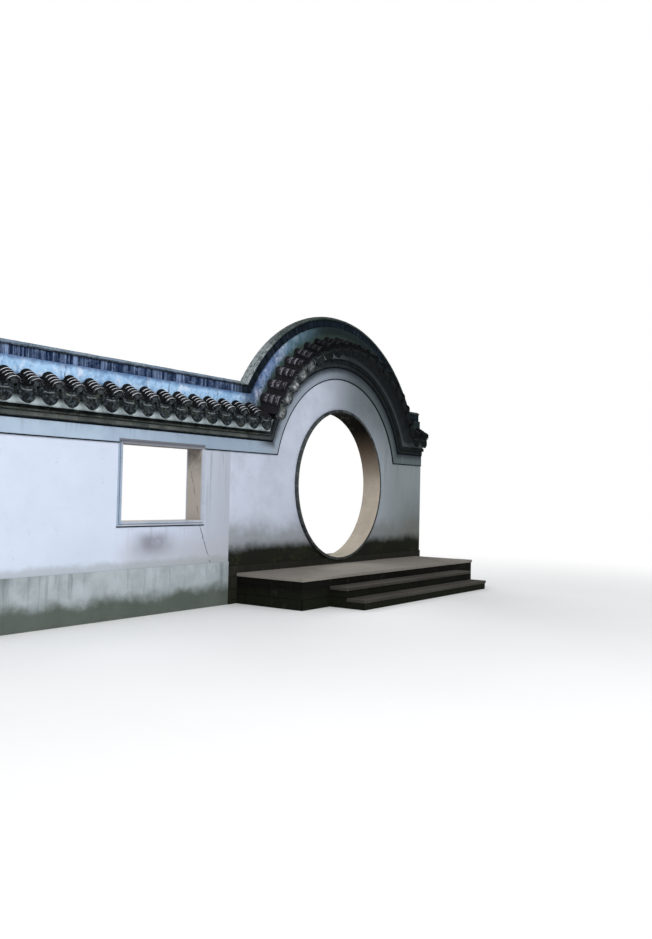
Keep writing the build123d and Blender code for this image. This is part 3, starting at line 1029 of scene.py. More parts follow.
class MoonGateSizes(PropertyGroup):
    """Sizes that a user would change."""
    tiles_on_wing: counted("Tiles in a row of the wing", 4)
    tiles_on_arch: counted("Tiles in a row of the arch", 3)
    tile_thickness: sized("Tile thickness", 0.014, 0.006, 0.02, "Thickness of a roof tile")
    standing_pitch: sized("Standing tile pitch", 0.024, 0.015, 0.05, "Distance between the tiles on edge")
    brick_length: sized("Brick length", 0.28, 0.1, 0.5, "Length of a brick in the string course")
    joint: sized("Joint", 0.005, 0.001, 0.02, "Width of the joints between bricks")
    ring_brick_length: sized("Ring brick length", 0.2, 0.08, 0.4, "Length of a brick in the ring")
    stone_length: sized("Paving stone length", 0.87, 0.3, 2.0, "Length of a slab on the landing")


def colours():
    return bpy.context.scene.moon_gate_colours


def sizes():
    return bpy.context.scene.moon_gate_sizes


def tiles_in_row(run):
    return sizes().tiles_on_arch if run == "arch" else sizes().tiles_on_wing


# Cover tiles
ROW_RADIUS = 0.098
ROW_SINK = 0.017
PLATE_RADIUS = 0.099
PLATE_DEPTH = 0.018
PLATE_CENTRE = 0.35
TILE_OVERLAP = 0.03
RIDGE_TUCK = 0.002
ARC_STEPS = 12
TILE_SHADE = 0.1
TILE_JOG = 0.003

# Outlines of an end plate, each with its share of the whole, how far it lies back and its wear
PLATE_OUTLINES = ((1.0, PLATE_DEPTH, 0.0), (1.0, 0.004, 0.15), (0.96, 0.0, 0.3), (0.86, 0.0, 0.15),
                  (0.80, 0.006, 0.0), (0.5, 0.004, 0.1), (0.1, 0.002, 0.2))


def arc_ring(spot, side, along, radius, thickness):
    """The outer arc of a cover tile and back along its inner arc."""
    slope = SLOPES[spot[0]]
    shares = [i / ARC_STEPS for i in range(ARC_STEPS + 1)]
    points = []
    for r, way in ((radius, shares), (radius - thickness, shares[::-1])):
        foot = math.asin(min(0.95, ROW_SINK / r))
        for share in way:
            turn = foot + (math.pi - 2 * foot) * share
            half, height = slope.place(along, r * math.sin(turn) - ROW_SINK)
            half = max(half, ridge_half - RIDGE_TUCK)
            points.append(place(spot, r * math.cos(turn), side * half, height))
    return points


def crown_wear_and_highlight(amount):
    """Rubbing and painted highlight of the points of an arc, strongest along its crown, which faces the
    light, and none near its feet.
    """
    outer = []
    for i in range(ARC_STEPS + 1):
        rise = math.sin(math.pi * i / ARC_STEPS)
        outer.append(amount * min(1.0, max(0.0, (rise - 0.15) / 0.4)))
    return outer + outer[::-1]


def cover_row(pile, spot, side):
    """A row of cover tiles from the ridge to its end plate, each a little over the next one's back."""
    run, where = spot
    arch = run == "arch"
    body, stripe = (0.32, 0.03) if arch else (0.1, 0.016)
    thick = sizes().tile_thickness
    many = tiles_in_row(run)
    reach = SLOPES[run].reach(SLOPES[run].plate_front - PLATE_DEPTH)
    exposure = reach / many
    for i in range(many):
        tone = random.random() * TILE_SHADE
        jog = random.uniform(-TILE_JOG, TILE_JOG)
        turn = random.uniform(-TILE_JOG, TILE_JOG)
        worn_and_painted_light = random.uniform(0.45, 0.8) if arch else random.uniform(0.7, 1.0)
        moved = (run, where + (turn / arch_radius if arch else turn))
        back = i * exposure - TILE_OVERLAP
        front = reach + 0.004 if i == many - 1 else (i + 1) * exposure + jog
        radius = ROW_RADIUS + random.uniform(-0.002, 0.001)
        # Painted shadow and highlight: the rear of each tile stays dark for the shadow of the tile above, its
        # very front edge is dark for the shadow of the step, and the pale band behind the front, partly
        # rubbed, is strongest on the crown.
        arcs = ((back, 0.010, thick, body * 0.4), (back + 0.045, 0.006, thick, body),
                (front - stripe, 0.002, thick, crown_wear_and_highlight(body + 0.15)),
                (front - 0.003, 0.0, thick, crown_wear_and_highlight(worn_and_painted_light)), (front, 0.002, thick - 0.003, 0.1))
        pile.shell([pile.loop(arc_ring(moved, side, along, radius - narrower, deep), wear_and_painted_light, tone)
                    for along, narrower, deep, wear_and_painted_light in arcs])
    end_plate(pile, spot, side)


def end_plate(pile, spot, side):
    """The upright half-round plate that closes a row, with a raised rim round a low field."""
    slope = SLOPES[spot[0]]
    tone = random.random() * TILE_SHADE if spot[0] == "arch" else random.uniform(0.35, 0.9)
    foot = slope.height(slope.plate_front)
    rise = PLATE_RADIUS / math.cos(slope.angle)
    centre = PLATE_CENTRE * PLATE_RADIUS
    loops = []
    for share, sunk, wear_and_painted_light in PLATE_OUTLINES:
        points = []
        for i in range(ARC_STEPS + 1):
            turn = math.pi * i / ARC_STEPS
            up = max(0.0, rise * math.sin(turn) - ROW_SINK)
            height = foot + centre + (up - centre) * share
            across = PLATE_RADIUS * math.cos(turn) * share
            points.append(place(spot, across, side * (slope.plate_front - sunk), height))
        loops.append(pile.loop(points, wear_and_painted_light, tone))
    pile.tube(loops)


# Pan tiles in the channels between the rows, hollow along their middle, and the bed under them
PAN_HALF = 0.098
PAN_DIP = 0.012
PAN_RISE = 0.044
PAN_THICK = 0.010
PAN_OVERLAP = 0.02
PAN_STEPS = 8
BED_TOP = -0.022
BED_BOTTOM = -0.0295
BED_SHORT = 0.012
BED_STATIONS = {"left": 40, "arch": 60, "right": 6}


def pan_ring(spot, side, along, lift, thickness):
    """The upper face of a pan tile and back along its lower face."""
    slope = SLOPES[spot[0]]
    shares = [2 * i / PAN_STEPS - 1 for i in range(PAN_STEPS + 1)]
    points = []
    for way, sunk in ((shares, 0), (shares[::-1], thickness)):
        for share in way:
            half, height = slope.place(along, lift - PAN_DIP + PAN_RISE * share * share - sunk)
            half = min(max(half, ridge_half - RIDGE_TUCK), slope.eave + 0.004)
            points.append(place(spot, PAN_HALF * share, side * half, height))
    return points


def pan_channel(pile, spot, side):
    many = tiles_in_row(spot[0])
    slope = SLOPES[spot[0]]
    exposure = slope.reach(slope.eave) / many
    for i in range(many):
        tone = random.random() * TILE_SHADE / 2
        back = i * exposure - PAN_OVERLAP
        front = (i + 1) * exposure
        arcs = ((back, 0.002, PAN_THICK, 0.0), (front - 0.003, 0.012, PAN_THICK, 0.15),
                (front, 0.011, PAN_THICK - 0.002, 0.3))
        pile.shell([pile.loop(pan_ring(spot, side, along, lift, thick), wear_and_painted_light, tone)
                    for along, lift, thick, wear_and_painted_light in arcs])


def tile_bed(pile, run, side):
    """The bed under the tiles of one run, on one side of the ridge."""
    slope = SLOPES[run]
    foot = slope.reach(slope.eave) - BED_SHORT
    profile = []
    for along, out in ((0.0, BED_BOTTOM), (foot, BED_BOTTOM), (foot, BED_TOP), (0.0, BED_TOP)):
        half, height = slope.place(along, out)
        profile.append((side * max(half, ridge_half - 0.001), height))
    many = BED_STATIONS[run]
    loops = []
    for i in range(many + 1):
        share = 1 - i / many if run == "right" else i / many
        loops.append(pile.loop([moulding_point(run, share, y, height, left_end, right_end)
                                for y, height in profile]))
    pile.tube(loops)


def tongue_point(spot, side, across, down, out):
    slope = SLOPES[spot[0]]
    half = slope.eave + down * math.sin(TONGUE_TILT) + out * math.cos(TONGUE_TILT)
    height = slope.eave_top - down * math.cos(TONGUE_TILT) + out * math.sin(TONGUE_TILT)
    return place(spot, across, side * half, height)


def tongue_half_width(share):
    """Half the width of a tongue, from its top at 0 to its tip at 1."""
    return TONGUE_HALF * (1 - share ** 3.6) ** 0.62


def tongue_boss(across, share):
    reach = (across / BOSS_HALF) ** 2 + ((share - BOSS_MIDDLE) / BOSS_REACH) ** 2
    return BOSS_HEIGHT * max(0.0, 1 - reach) ** 0.5


def tongue_front(across, share, length):
    """How far the front of a tongue stands out, with its rim and its boss."""
    edge = min(tongue_half_width(share) - abs(across), length * share + 0.004, length * (1 - share))
    rim = RIM_HEIGHT * max(0.0, 1 - abs(edge - RIM_HALF) / RIM_HALF)
    eased = 0.002 if edge < 0.0015 else 0.0
    return TONGUE_THICK / 2 + rim + tongue_boss(across, share) - eased


def drip_tongue(pile, spot, side):
    """A tile front that hangs from the channel, hollow along its top, with a raised rim and a low boss."""
    # Painted light: tongues on the arch's left get pale faces, for the light that falls on them, and every
    # tongue's face is darker round its edge for painted shade.
    lit_on_arch = spot[0] == "arch" and spot[1] < LIT_TONGUE_TURN
    field = random.uniform(0.5, 0.95) if lit_on_arch else random.uniform(0.0, 0.012)
    swing = random.uniform(-0.004, 0.004)
    length = SLOPES[spot[0]].tongue_length
    shares = [1 - (1 - i / TONGUE_ROWS) ** 1.6 for i in range(TONGUE_ROWS)] + [TONGUE_TIP]
    columns = [math.sin(math.pi / 2 * (2 * k / TONGUE_COLUMNS - 1)) for k in range(TONGUE_COLUMNS + 1)]
    faces = []
    for front in (True, False):
        loops = []
        for share in shares:
            points = []
            wear_and_painted_light = []
            tone = []
            for column in columns:
                across = tongue_half_width(share) * column
                bow = (across / TONGUE_HALF) ** 2
                down = length * share + (TOP_DIP - TOP_RISE * bow) * (1 - share) ** 2
                out = (tongue_front(across, share, length) if front else 0.0) - BELLY * (1 - bow)
                points.append(tongue_point(spot, side, across + swing * share, down, out))
                # Painted highlight: a pale stripe across the upper face.
                stripe = 0.12 < share < 0.3 and abs(column) < 0.7
                wear_and_painted_light.append(0.7 if stripe else 0.2 if tongue_boss(across, share) > BOSS_HEIGHT / 2 else 0.1)
                middle = 0.25 < share < 0.8 and abs(column) < 0.65
                tone.append(field if middle else field * 0.15)
            loops.append(pile.loop(points, wear_and_painted_light, tone))
        pile.skin(loops, closed=False)
        faces.append(loops)
    front, back = faces
    for row in (0, -1):
        pile.bridge(front[row], back[row], closed=False)
    for column in (0, -1):
        pile.bridge([loop[column] for loop in front], [loop[column] for loop in back], closed=False)


def ridge_base():
    """The plastered base of the ridge, a little uneven."""
    crest = WING_SLOPE.crest
    side = [(ridge_half, ARCH_SLOPE.crest - 0.03), (ridge_half, crest - 0.01), (ridge_half, crest + 0.05),
            (ridge_half - 0.001, crest + 0.1), (ridge_half - 0.001, crest + 0.15),
            (ridge_half - 0.002, ridge_base_top - 0.012), (ridge_half - 0.008, ridge_base_top - 0.003),
            (ridge_half - 0.02, ridge_base_top)]
    pile = Pile()
    run_through(pile, both_ways(side), 0.04, (0.0035, 0.12), x_from=left_end + 0.001, x_to=right_end - 0.001)
    pile.make("ridge_plaster_base", "ridge_limewash", "ridge_plaster", *three("ridge_base"))


STANDING_CORE = 0.012
STANDING_GAP = 0.007


def standing_tiles():
    """Tiles on edge along the ridge, bowed and set by hand, round a plain core."""
    pile = Pile()
    foot = ridge_base_top - 0.002
    middle = (ridge_base_top + ridge_tile_top) / 2
    core_half = ridge_tile_half - STANDING_CORE
    run_through(pile, both_ways([(core_half, foot), (core_half, ridge_tile_top)]), 0.1, tone=0.0)
    for run in RUNS:
        places, pitch = spaced(run, sizes().standing_pitch, middle)
        for spot in places:
            half = ridge_tile_half - random.uniform(0.0, 0.004)
            bow = random.uniform(0.0, 0.003)
            side = [(half - 0.002, foot), (half, ridge_base_top + 0.02), (half - bow, middle),
                    (half, ridge_tile_top - 0.02), (half - 0.002, ridge_tile_top)]
            tone = random.random() ** 1.6
            thick = pitch - STANDING_GAP + random.uniform(-0.002, 0.002)
            lay(pile, spot, thick, both_ways(side), 1, 0.002, 0.2, 0.6, tone)
    pile.make("standing_ridge_tiles", "standing_tile", "ridge_tile", *three("ridge_tiles"))


def ridge_cap():
    """The cap of two steps, its profile given by how far each point is in and down, with a value that paints
    shadow, high in the undercut under the upper step and in the groove along the top.
    """
    side = [(0.008, 0.060, 0.7), (0.008, 0.047, 0.6), (0.002, 0.045, 0.4), (0.0, 0.041, 0.1),
            (0.0, 0.030, 0.0), (0.002, 0.022, 0.0), (0.012, 0.018, 0.1), (0.034, 0.014, 0.2),
            (0.038, 0.013, 1.0), (0.040, 0.012, 1.0), (0.042, 0.008, 0.3), (0.050, 0.004, 0.0),
            (0.064, 0.001, 0.0), (0.078, 0.0, 0.0)]
    profile = [(cap_half - inward, cap_top - sunk) for inward, sunk, wear_and_painted_light in side]
    wear_and_painted_light = [wear_and_painted_light for inward, sunk, wear_and_painted_light in side]
    pile = Pile()
    run_through(pile, both_ways(profile), 0.04, (0.003, 0.07), wear_and_painted_light + wear_and_painted_light[::-1])
    pile.make("ridge_lime_cap", "ridge_cap_lime", "ridge_cap", *three("ridge_cap"))


BRICK_INSET = 0.004
BRICK_EASE = 0.0025
BRICK_EDGE = 0.003


def cornice_course(name, face, bottom, top, finish, slot):
    """The bricks of one course on both faces of the wall, on a bed that shows in their joints."""
    joint = sizes().joint
    for face_name, side in FACES.items():
        pile = Pile()
        inner = side * (wall_half - BRICK_INSET)
        bed = side * (face - BRICK_INSET)
        mortar = [(inner, bottom + 0.002), (inner, top - 0.001), (bed, top - 0.001), (bed, bottom + 0.002)]
        run_through(pile, mortar, 0.1, tone=0.0)
        for run in RUNS:
            places, pitch = spaced(run, sizes().brick_length, (bottom + top) / 2)
            for spot in places:
                y = side * (face - random.uniform(0.0, 0.0015))
                eased = y - side * BRICK_EASE
                profile = [(inner, bottom), (eased, bottom), (y, bottom + BRICK_EDGE), (y, top - BRICK_EDGE),
                           (eased, top), (inner, top)]
                lay(pile, spot, pitch - joint, profile, 4, BRICK_EASE, 0.1, 1.0, random.random())
        pile.make(name + "_bricks_" + face_name, finish, slot, name + "_" + face_name)


FILLET_PAST_FRAME = 0.06
FILLET_EASE = 0.002


def painted_fillets():
    """The fillet at the foot of the frieze, which stops at the window, and the one at its head, dark lines of
    paint and painted shadow under the frieze band and the string course.
    """
    frame_left = window_left - FILLET_PAST_FRAME
    frame_right = window_right + FILLET_PAST_FRAME
    pile = Pile()
    for side in SIDES:
        back = side * (wall_half - BRICK_INSET)
        for start, end, proud, spans in (
                (-0.008, 0.006, 0.006, ((left_end, frame_left), (frame_right, right_end))),
                (string_low - 0.021, string_low + 0.001, 0.008, ((left_end, right_end),))):
            face = side * (frieze_face + proud)
            edge = face - side * FILLET_EASE
            profile = [(back, start), (edge, start), (face, start + FILLET_EASE), (face, end - FILLET_EASE),
                       (edge, end), (back, end)]
            for x_from, x_to in spans:
                run_through(pile, profile, 0.12, x_from=x_from, x_to=x_to)
    pile.make("painted_fillets", "fillet_paint_and_shadow", "band_brick")


FRAME_STEPS = 10
FRAME_UNEVEN = 0.0012


def window_frame():
    """The moulded frame on both faces, its profile given by distance from the opening, by relief and by a
    value that paints shade in its groove and along its outer side.
    """
    section = [(0.0008, -0.03, 0.0), (0.0008, 0.018, 0.0), (0.003, 0.021, 0.1), (0.010, 0.022, 0.0),
               (0.022, 0.022, 0.0), (0.028, 0.020, 0.1), (0.031, 0.014, 0.7), (0.034, 0.009, 1.0),
               (0.040, 0.008, 0.6), (0.052, 0.0115, 0.0), (0.058, 0.011, 0.0), (frame_width, 0.007, 0.4),
               (frame_width, -0.01, 0.6)]
    wear_and_painted_light = [worn_and_painted_light for out, proud, worn_and_painted_light in section]
    corners = [(window_left, window_sill, -1, -1), (window_right, window_sill, 1, -1),
               (window_right, window_head, 1, 1), (window_left, window_head, -1, 1)]
    pile = Pile()
    for side in SIDES:
        loops = []
        for here, ahead in zip(corners, corners[1:] + corners[:1]):
            for i in range(FRAME_STEPS):
                points = []
                for out, proud, worn_and_painted_light in section:
                    start, end = [Vector((x + dx * out, 0, z + dz * out)) for x, z, dx, dz in (here, ahead)]
                    point = start.lerp(end, i / FRAME_STEPS)
                    shift = hand_made(point, FRAME_UNEVEN, 0.1) - FRAME_UNEVEN
                    point.y = side * (wall_half + proud + shift)
                    points.append(point)
                loops.append(pile.loop(points, wear_and_painted_light))
        pile.skin(loops + loops[:1])
    pile.make("moulded_window_frame", "frame_clay", "frame_brick", "window_frame")


SILL_DROP = 0.013
SILL_HEIGHT = 0.0125
SILL_PAST_FRAME = 0.004


def sill_fillet():
    """The dark fillet under the frame, paint and painted shadow."""
    pile = Pile()
    bottom = window_sill - frame_width - SILL_DROP
    past = frame_width + SILL_PAST_FRAME
    for side in SIDES:
        near, far = sorted((side * (wall_half - 0.003), side * (wall_half + 0.012)))
        corner = (window_left - past, near, bottom)
        opposite = (window_right + past, far, bottom + SILL_HEIGHT)
        stone(pile, corner, opposite, 0.002, 0.5)
    pile.make("sill_fillet", "fillet_paint_and_shadow", "band_brick")


# The moon opening
RING_WIDTH = 0.05
RING_BRICK_STEPS = 5
ring_inner = ring_radius - RING_WIDTH
LINING_TURNS = 180
LINING_STATIONS = 12
LINING_UNEVEN = 0.002


def polar(turn, radius, y):
    return Vector((radius * math.sin(turn), y, centre_z + radius * math.cos(turn)))


def ring_bricks():
    """Bricks of the ring, on both faces of the wall."""
    pile = Pile()
    whole = 2 * math.pi
    many = round(whole * ring_radius / sizes().ring_brick_length)
    gap = sizes().joint / 2 / ring_radius
    for side in SIDES:
        back = side * wall_half
        front = side * ring_front
        profile = [(ring_inner + 0.004, back), (ring_inner + 0.004, front - side * 0.003),
                   (ring_inner + 0.008, front), (ring_radius - 0.004, front),
                   (ring_radius, front - side * 0.004), (ring_radius, back)]
        for i in range(many):
            start = whole * i / many + gap / 2
            end = whole * (i + 1) / many - gap / 2
            tone = random.random()
            loops = []
            for k in range(RING_BRICK_STEPS + 1):
                turn = start + (end - start) * k / RING_BRICK_STEPS
                points = [polar(turn, radius, y) for radius, y in profile]
                loops.append(pile.loop(points, 0.9 if k in (0, RING_BRICK_STEPS) else 0.2, tone))
            pile.tube(loops)
    pile.make("moon_ring_bricks", "ring_clay", "ring_brick", "opening_ring")


def opening_lining():
    """Plaster inside the opening, from ring to ring, hollow behind them."""
    depth = ring_front - 0.001
    half = [(ring_radius - 0.001, wall_half - 0.001), (ring_inner + 0.006, wall_half),
            (ring_inner + 0.006, depth - 0.002), (ring_inner + 0.002, depth)]
    face = [(ring_inner, -depth + 0.004 + (2 * depth - 0.008) * i / LINING_STATIONS)
            for i in range(LINING_STATIONS + 1)]
    profile = [(radius, -y) for radius, y in half] + face + half[::-1]
    pile = Pile()
    loops = []
    for i in range(LINING_TURNS):
        turn = 2 * math.pi * i / LINING_TURNS
        points = []
        for radius, y in profile:
            shift = 0.0
            if radius <= ring_inner + 0.002:
                shift = LINING_UNEVEN + hand_made(polar(turn, radius, y), LINING_UNEVEN, 0.15)
            points.append(polar(turn, radius + shift, y))
        loops.append(pile.loop(points))
    pile.skin(loops + loops[:1])
    pile.make("moon_opening_lining", "soffit_limewash", "soffit_plaster", "opening_lining")


# The landing and the steps
STONE_GAP = 0.003
STONE_UNEVEN = 0.0015
KERB = 0.34
GOING = 0.29
TREAD_THICK = 0.05
TREAD_TUCK = 0.015
TREAD_STONES = {1: 4, 2: 3}


def stone_strip(pile, many, ends, depth, heights, ease):
    """A strip of stones side by side, of a length that fills the strip with whole stones."""
    start, end = ends
    near, far = sorted(depth)
    bottom, top = heights
    pitch = (end - start + STONE_GAP) / many
    for i in range(many):
        x = start + i * pitch
        worn_top = top - random.uniform(0.0, 0.002)
        opposite = (x + pitch - STONE_GAP, far, worn_top)
        stone(pile, (x, near, bottom), opposite, ease, random.random(), STONE_UNEVEN)


def landing_stones(face_name, side):
    """Slabs of the landing, with longer ones along its outer edge."""
    pile = Pile()
    lo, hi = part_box("landing_slab_" + face_name)
    outer, inner = (lo.y, hi.y) if side < 0 else (hi.y, lo.y)
    kerb = outer - side * KERB
    for longer, depth in ((1.25, (outer, kerb)), (0.9, (kerb - side * STONE_GAP, inner))):
        many = round((hi.x - lo.x) / (sizes().stone_length * longer))
        stone_strip(pile, many, (lo.x, hi.x), depth, (lo.z, hi.z), 0.005)
    pile.make("landing_stones_" + face_name, "slab_stone", "paving_slab", "landing_slab_" + face_name)


def tread_stones(face_name, side):
    """Stones of the two treads, each tucked a little under the step above."""
    pile = Pile()
    lo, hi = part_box("treads_" + face_name)
    landing = high("landing_slab_back").y
    for step, many in TREAD_STONES.items():
        top = landing_top - step * landing_top / 3
        front = landing + step * GOING
        depth = (side * front, side * (front - GOING - TREAD_TUCK))
        stone_strip(pile, many, (lo.x, hi.x), depth, (top - TREAD_THICK, top), 0.006)
    pile.make("tread_stones_" + face_name, "tread_stone", "paving_slab", "treads_" + face_name)


def dress(finish, *nodes):
    """Gives a finish to nodes of the frame that stay in view."""
    for name in nodes:
        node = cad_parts[name]
        node.data.materials.clear()
        node.data.materials.append(bpy.data.materials[finish])


DONE = {"FINISHED"}


class PieceOperator(Operator):
    bl_options = {"REGISTER", "UNDO"}


class MOONGATE_OT_finishes(PieceOperator):
    """Builds the shared effects and the finish of every surface"""
    bl_idname = "moongate.finishes"
    bl_label = "Finishes"

    def execute(self, context):
        for build in EFFECTS:
            build()
        for make in FINISHES:
            make()
        return DONE


class MOONGATE_OT_walls(PieceOperator):
    """Plaster of the walls, the frieze, the coping core and the plinth, and the base course's stone"""
    bl_idname = "moongate.walls"
    bl_label = "Walls"

    def execute(self, context):
        dress("garden_plaster", "garden_wall_end", "garden_wall_by_gate", "garden_wall_under_window",
              "garden_wall_over_window")
        dress("gate_plaster", "gate_wall_left", "gate_wall_right", "gate_wall_crown")
        dress("frieze_plaster", "frieze_front", "frieze_back")
        dress("coping_limewash", *three("coping_core"))
        dress("plinth_plaster", "garden_plinth")
        dress("base_stone", "gate_base_course")
        return DONE


class MOONGATE_OT_cover_tiles(PieceOperator):
    """Rows of overlapping cover tiles with the upright plate at the eave"""
    bl_idname = "moongate.cover_tiles"
    bl_label = "Cover tiles"

    def execute(self, context):
        random.seed(11)
        for run in RUNS:
            pile = Pile()
            for spot in spots(run, 0):
                for side in SIDES:
                    cover_row(pile, spot, side)
            pile.make("laid_cover_tiles_" + run, "roof_tile_clay", "roof_tile", "cover_tiles_" + run)
        return DONE


class MOONGATE_OT_channels(PieceOperator):
    """Pan tiles in the channels and the drip tongues at their ends"""
    bl_idname = "moongate.channels"
    bl_label = "Channels and drip tongues"

    def execute(self, context):
        random.seed(12)
        for run in RUNS:
            pans = Pile()
            tongues = Pile()
            bed = Pile()
            for spot in spots(run, 0.5):
                for side in SIDES:
                    pan_channel(pans, spot, side)
                    drip_tongue(tongues, spot, side)
            for side in SIDES:
                tile_bed(bed, run, side)
            bed.make("tile_bed_" + run, "tile_bed", "roof_tile", "pan_tiles_" + run)
            pans.make("laid_pan_tiles_" + run, "roof_tile_clay", "roof_tile")
            tongues.make("drip_tongues_" + run, "drip_tongue_clay", "roof_tile", "drip_tiles_" + run)
        return DONE


class MOONGATE_OT_ridge(PieceOperator):
    """Ridge base, standing tiles and cap"""
    bl_idname = "moongate.ridge"
    bl_label = "Ridge"

    def execute(self, context):
        random.seed(13)
        ridge_base()
        standing_tiles()
        ridge_cap()
        return DONE


class MOONGATE_OT_cornice(PieceOperator):
    """Bricks of the string course and of the dark band, and the thin painted fillets"""
    bl_idname = "moongate.cornice"
    bl_label = "Cornice"

    def execute(self, context):
        random.seed(14)
        cornice_course("string_course", string_face, string_low, band_low, "string_clay", "string_brick")
        cornice_course("cornice_band", band_face, band_low, band_top, "band_clay", "band_brick")
        painted_fillets()
        return DONE


class MOONGATE_OT_window(PieceOperator):
    """Moulded frame of the window, on both faces, with the dark fillet under it"""
    bl_idname = "moongate.window"
    bl_label = "Window frame"

    def execute(self, context):
        window_frame()
        sill_fillet()
        return DONE


class MOONGATE_OT_opening(PieceOperator):
    """Brick ring on both faces and the plaster lining of the moon opening"""
    bl_idname = "moongate.opening"
    bl_label = "Moon opening"

    def execute(self, context):
        random.seed(15)
        ring_bricks()
        opening_lining()
        return DONE


class MOONGATE_OT_landing(PieceOperator):
    """Landing slabs, treads and the stone faces under them"""
    bl_idname = "moongate.landing"
    bl_label = "Landing and steps"

    def execute(self, context):
        random.seed(16)
        for face_name, side in FACES.items():
            landing_stones(face_name, side)
            tread_stones(face_name, side)
        dress("riser_stone", "landing_core_front", "landing_core_back", "step_base_front", "step_base_back")
        return DONE


# The camera's place and aim, fitted to the photograph
CAMERA_AT = (-12.013, -8.292, 1.591)
CAMERA_YAW = 0.9577
CAMERA_PITCH = 0.0275
CAMERA_ROLL = 0.0215
CAMERA_LENS = 33.277

# The floor, which turns from its own colour to white between two distances, and the lamps
FLOOR_RADIUS = 90
FLOOR_SIDES = 96
FLOOR_CLEAR = 5.0
FLOOR_WHITE = 13.0
SKY = (0.93, 0.96, 1.0, 1.0)
SKY_STRENGTH = 0.6
WHITE = {"Color": (1.0, 1.0, 1.0, 1.0), "Strength": 1.0}
LAMP_SIZE = 7.0
LAMPS = (("key", (-11.0, -12.0, 11.0), (-2.5, 0.0, 1.5), 1440.0),
         ("rim", (9.0, 11.0, 10.0), (-1.0, 0.0, 1.5), 900.0))


def floor_paint():
    """Pale floor that keeps the shadow by the wall and turns white further off."""
    paint = Finish("floor_paint", "f1f0ee", 0.95)
    paint.cover("f4f4f3", 1.0, paint.mottling(0.3, 0.5, 0.3))
    middle = (left_end + right_end) / 2
    off_middle = paint.minus(paint.along("X"), middle)
    flat = paint.add("ShaderNodeCombineXYZ", {"X": off_middle, "Y": paint.along("Y")})
    far = paint.ramp(paint.vector("LENGTH", {0: flat[0]}, "Value"), FLOOR_CLEAR, FLOOR_WHITE)
    shown = paint.product(far, paint.add("ShaderNodeLightPath", {})["Is Camera Ray"])
    white = paint.add("ShaderNodeEmission", WHITE)
    mixed = paint.add("ShaderNodeMixShader", {0: shown, 1: paint.shader.outputs[0], 2: white[0]})
    paint.feed(paint.tree.nodes["Material Output"].inputs["Surface"], mixed[0])
    return paint.material


def light_sky(scene):
    """Soft light from all round, behind a background that is white to the camera and in reflections."""
    scene.world = bpy.data.worlds.new("studio")
    scene.world.use_nodes = True
    nodes = Nodes(scene.world.node_tree)
    nodes.tree.nodes.clear()
    light = nodes.add("ShaderNodeBackground", {"Color": SKY, "Strength": SKY_STRENGTH})
    white = nodes.add("ShaderNodeBackground", WHITE)
    path = nodes.add("ShaderNodeLightPath", {})
    seen = nodes.maths("MAXIMUM", path["Is Camera Ray"], path["Is Glossy Ray"])
    seen = nodes.maths("MAXIMUM", seen, path["Is Transmission Ray"])
    mixed = nodes.add("ShaderNodeMixShader", {0: seen, 1: light[0], 2: white[0]})
    nodes.add("ShaderNodeOutputWorld", {"Surface": mixed[0]})


def hang_lamps(scene):
    for name, at, aim, power in LAMPS:
        lamp = bpy.data.lights.new(name, "AREA")
        lamp.energy = power
        lamp.size = LAMP_SIZE
        holder = bpy.data.objects.new(name, lamp)
        holder.location = at
        holder.rotation_euler = (Vector(aim) - Vector(at)).to_track_quat("-Z", "Y").to_euler()
        scene.collection.objects.link(holder)


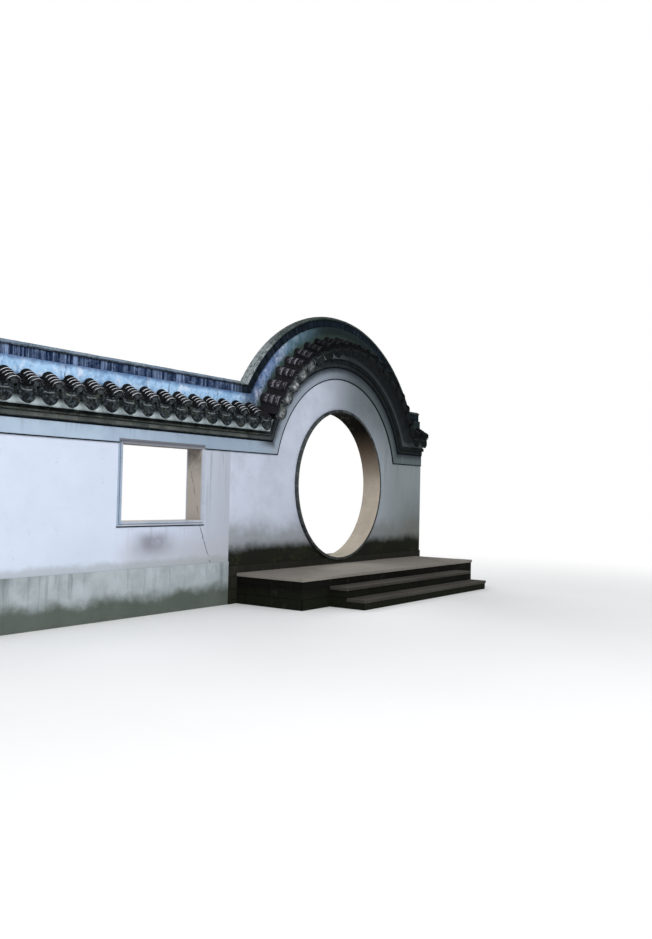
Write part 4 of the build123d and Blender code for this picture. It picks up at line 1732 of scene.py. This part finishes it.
def set_camera(scene):
    lens = bpy.data.cameras.new("camera")
    lens.lens = CAMERA_LENS
    lens.sensor_width = 36.0
    lens.clip_end = 300.0
    camera = bpy.data.objects.new("camera", lens)
    flat = math.cos(CAMERA_PITCH)
    ahead = Vector((math.sin(CAMERA_YAW) * flat, math.cos(CAMERA_YAW) * flat, math.sin(CAMERA_PITCH)))
    level = Vector((math.cos(CAMERA_YAW), -math.sin(CAMERA_YAW), 0.0))
    up = level.cross(ahead)
    right = math.cos(CAMERA_ROLL) * level + math.sin(CAMERA_ROLL) * up
    top = -math.sin(CAMERA_ROLL) * level + math.cos(CAMERA_ROLL) * up
    turn = Matrix((right, top, -ahead)).transposed()
    camera.matrix_world = Matrix.Translation(CAMERA_AT) @ turn.to_4x4()
    scene.collection.objects.link(camera)
    scene.camera = camera


class MOONGATE_OT_stage(PieceOperator):
    """Pale floor, soft light and the camera"""
    bl_idname = "moongate.stage"
    bl_label = "Stage"

    def execute(self, context):
        scene = context.scene
        scene.view_settings.view_transform = "Standard"
        bpy.ops.mesh.primitive_circle_add(vertices=FLOOR_SIDES, radius=FLOOR_RADIUS, fill_type="NGON",
                                          location=(0, 0, 0))
        floor = bpy.context.object
        floor.name = "floor"
        floor.data.materials.append(floor_paint())
        light_sky(scene)
        hang_lamps(scene)
        set_camera(scene)
        return DONE


OPERATORS = (MOONGATE_OT_finishes, MOONGATE_OT_walls, MOONGATE_OT_cover_tiles, MOONGATE_OT_channels,
             MOONGATE_OT_ridge, MOONGATE_OT_cornice, MOONGATE_OT_window, MOONGATE_OT_opening,
             MOONGATE_OT_landing, MOONGATE_OT_stage)


class MOONGATE_PT_panel(Panel):
    """Lists the pieces of the moon gate"""
    bl_idname = "MOONGATE_PT_panel"
    bl_label = "Moon gate"
    bl_space_type = "VIEW_3D"
    bl_region_type = "UI"
    bl_category = "Moon gate"

    def draw(self, context):
        layout = self.layout
        for owner in (context.scene.moon_gate_colours, context.scene.moon_gate_sizes):
            column = layout.column(align=True)
            for key in owner.bl_rna.properties.keys():
                if key not in ("rna_type", "name"):
                    column.prop(owner, key)
        for operator in OPERATORS:
            layout.operator(operator.bl_idname)


CLASSES = (MoonGateColours, MoonGateSizes, *OPERATORS, MOONGATE_PT_panel)


def register():
    for item in CLASSES:
        bpy.utils.register_class(item)
    bpy.types.Scene.moon_gate_colours = PointerProperty(type=MoonGateColours)
    bpy.types.Scene.moon_gate_sizes = PointerProperty(type=MoonGateSizes)


def unregister():
    del bpy.types.Scene.moon_gate_sizes
    del bpy.types.Scene.moon_gate_colours
    for item in reversed(CLASSES):
        bpy.utils.unregister_class(item)


def main():
    register()
    for operator in OPERATORS:
        area, name = operator.bl_idname.split(".")
        getattr(getattr(bpy.ops, area), name)()


if __name__ == "__main__":
    main()
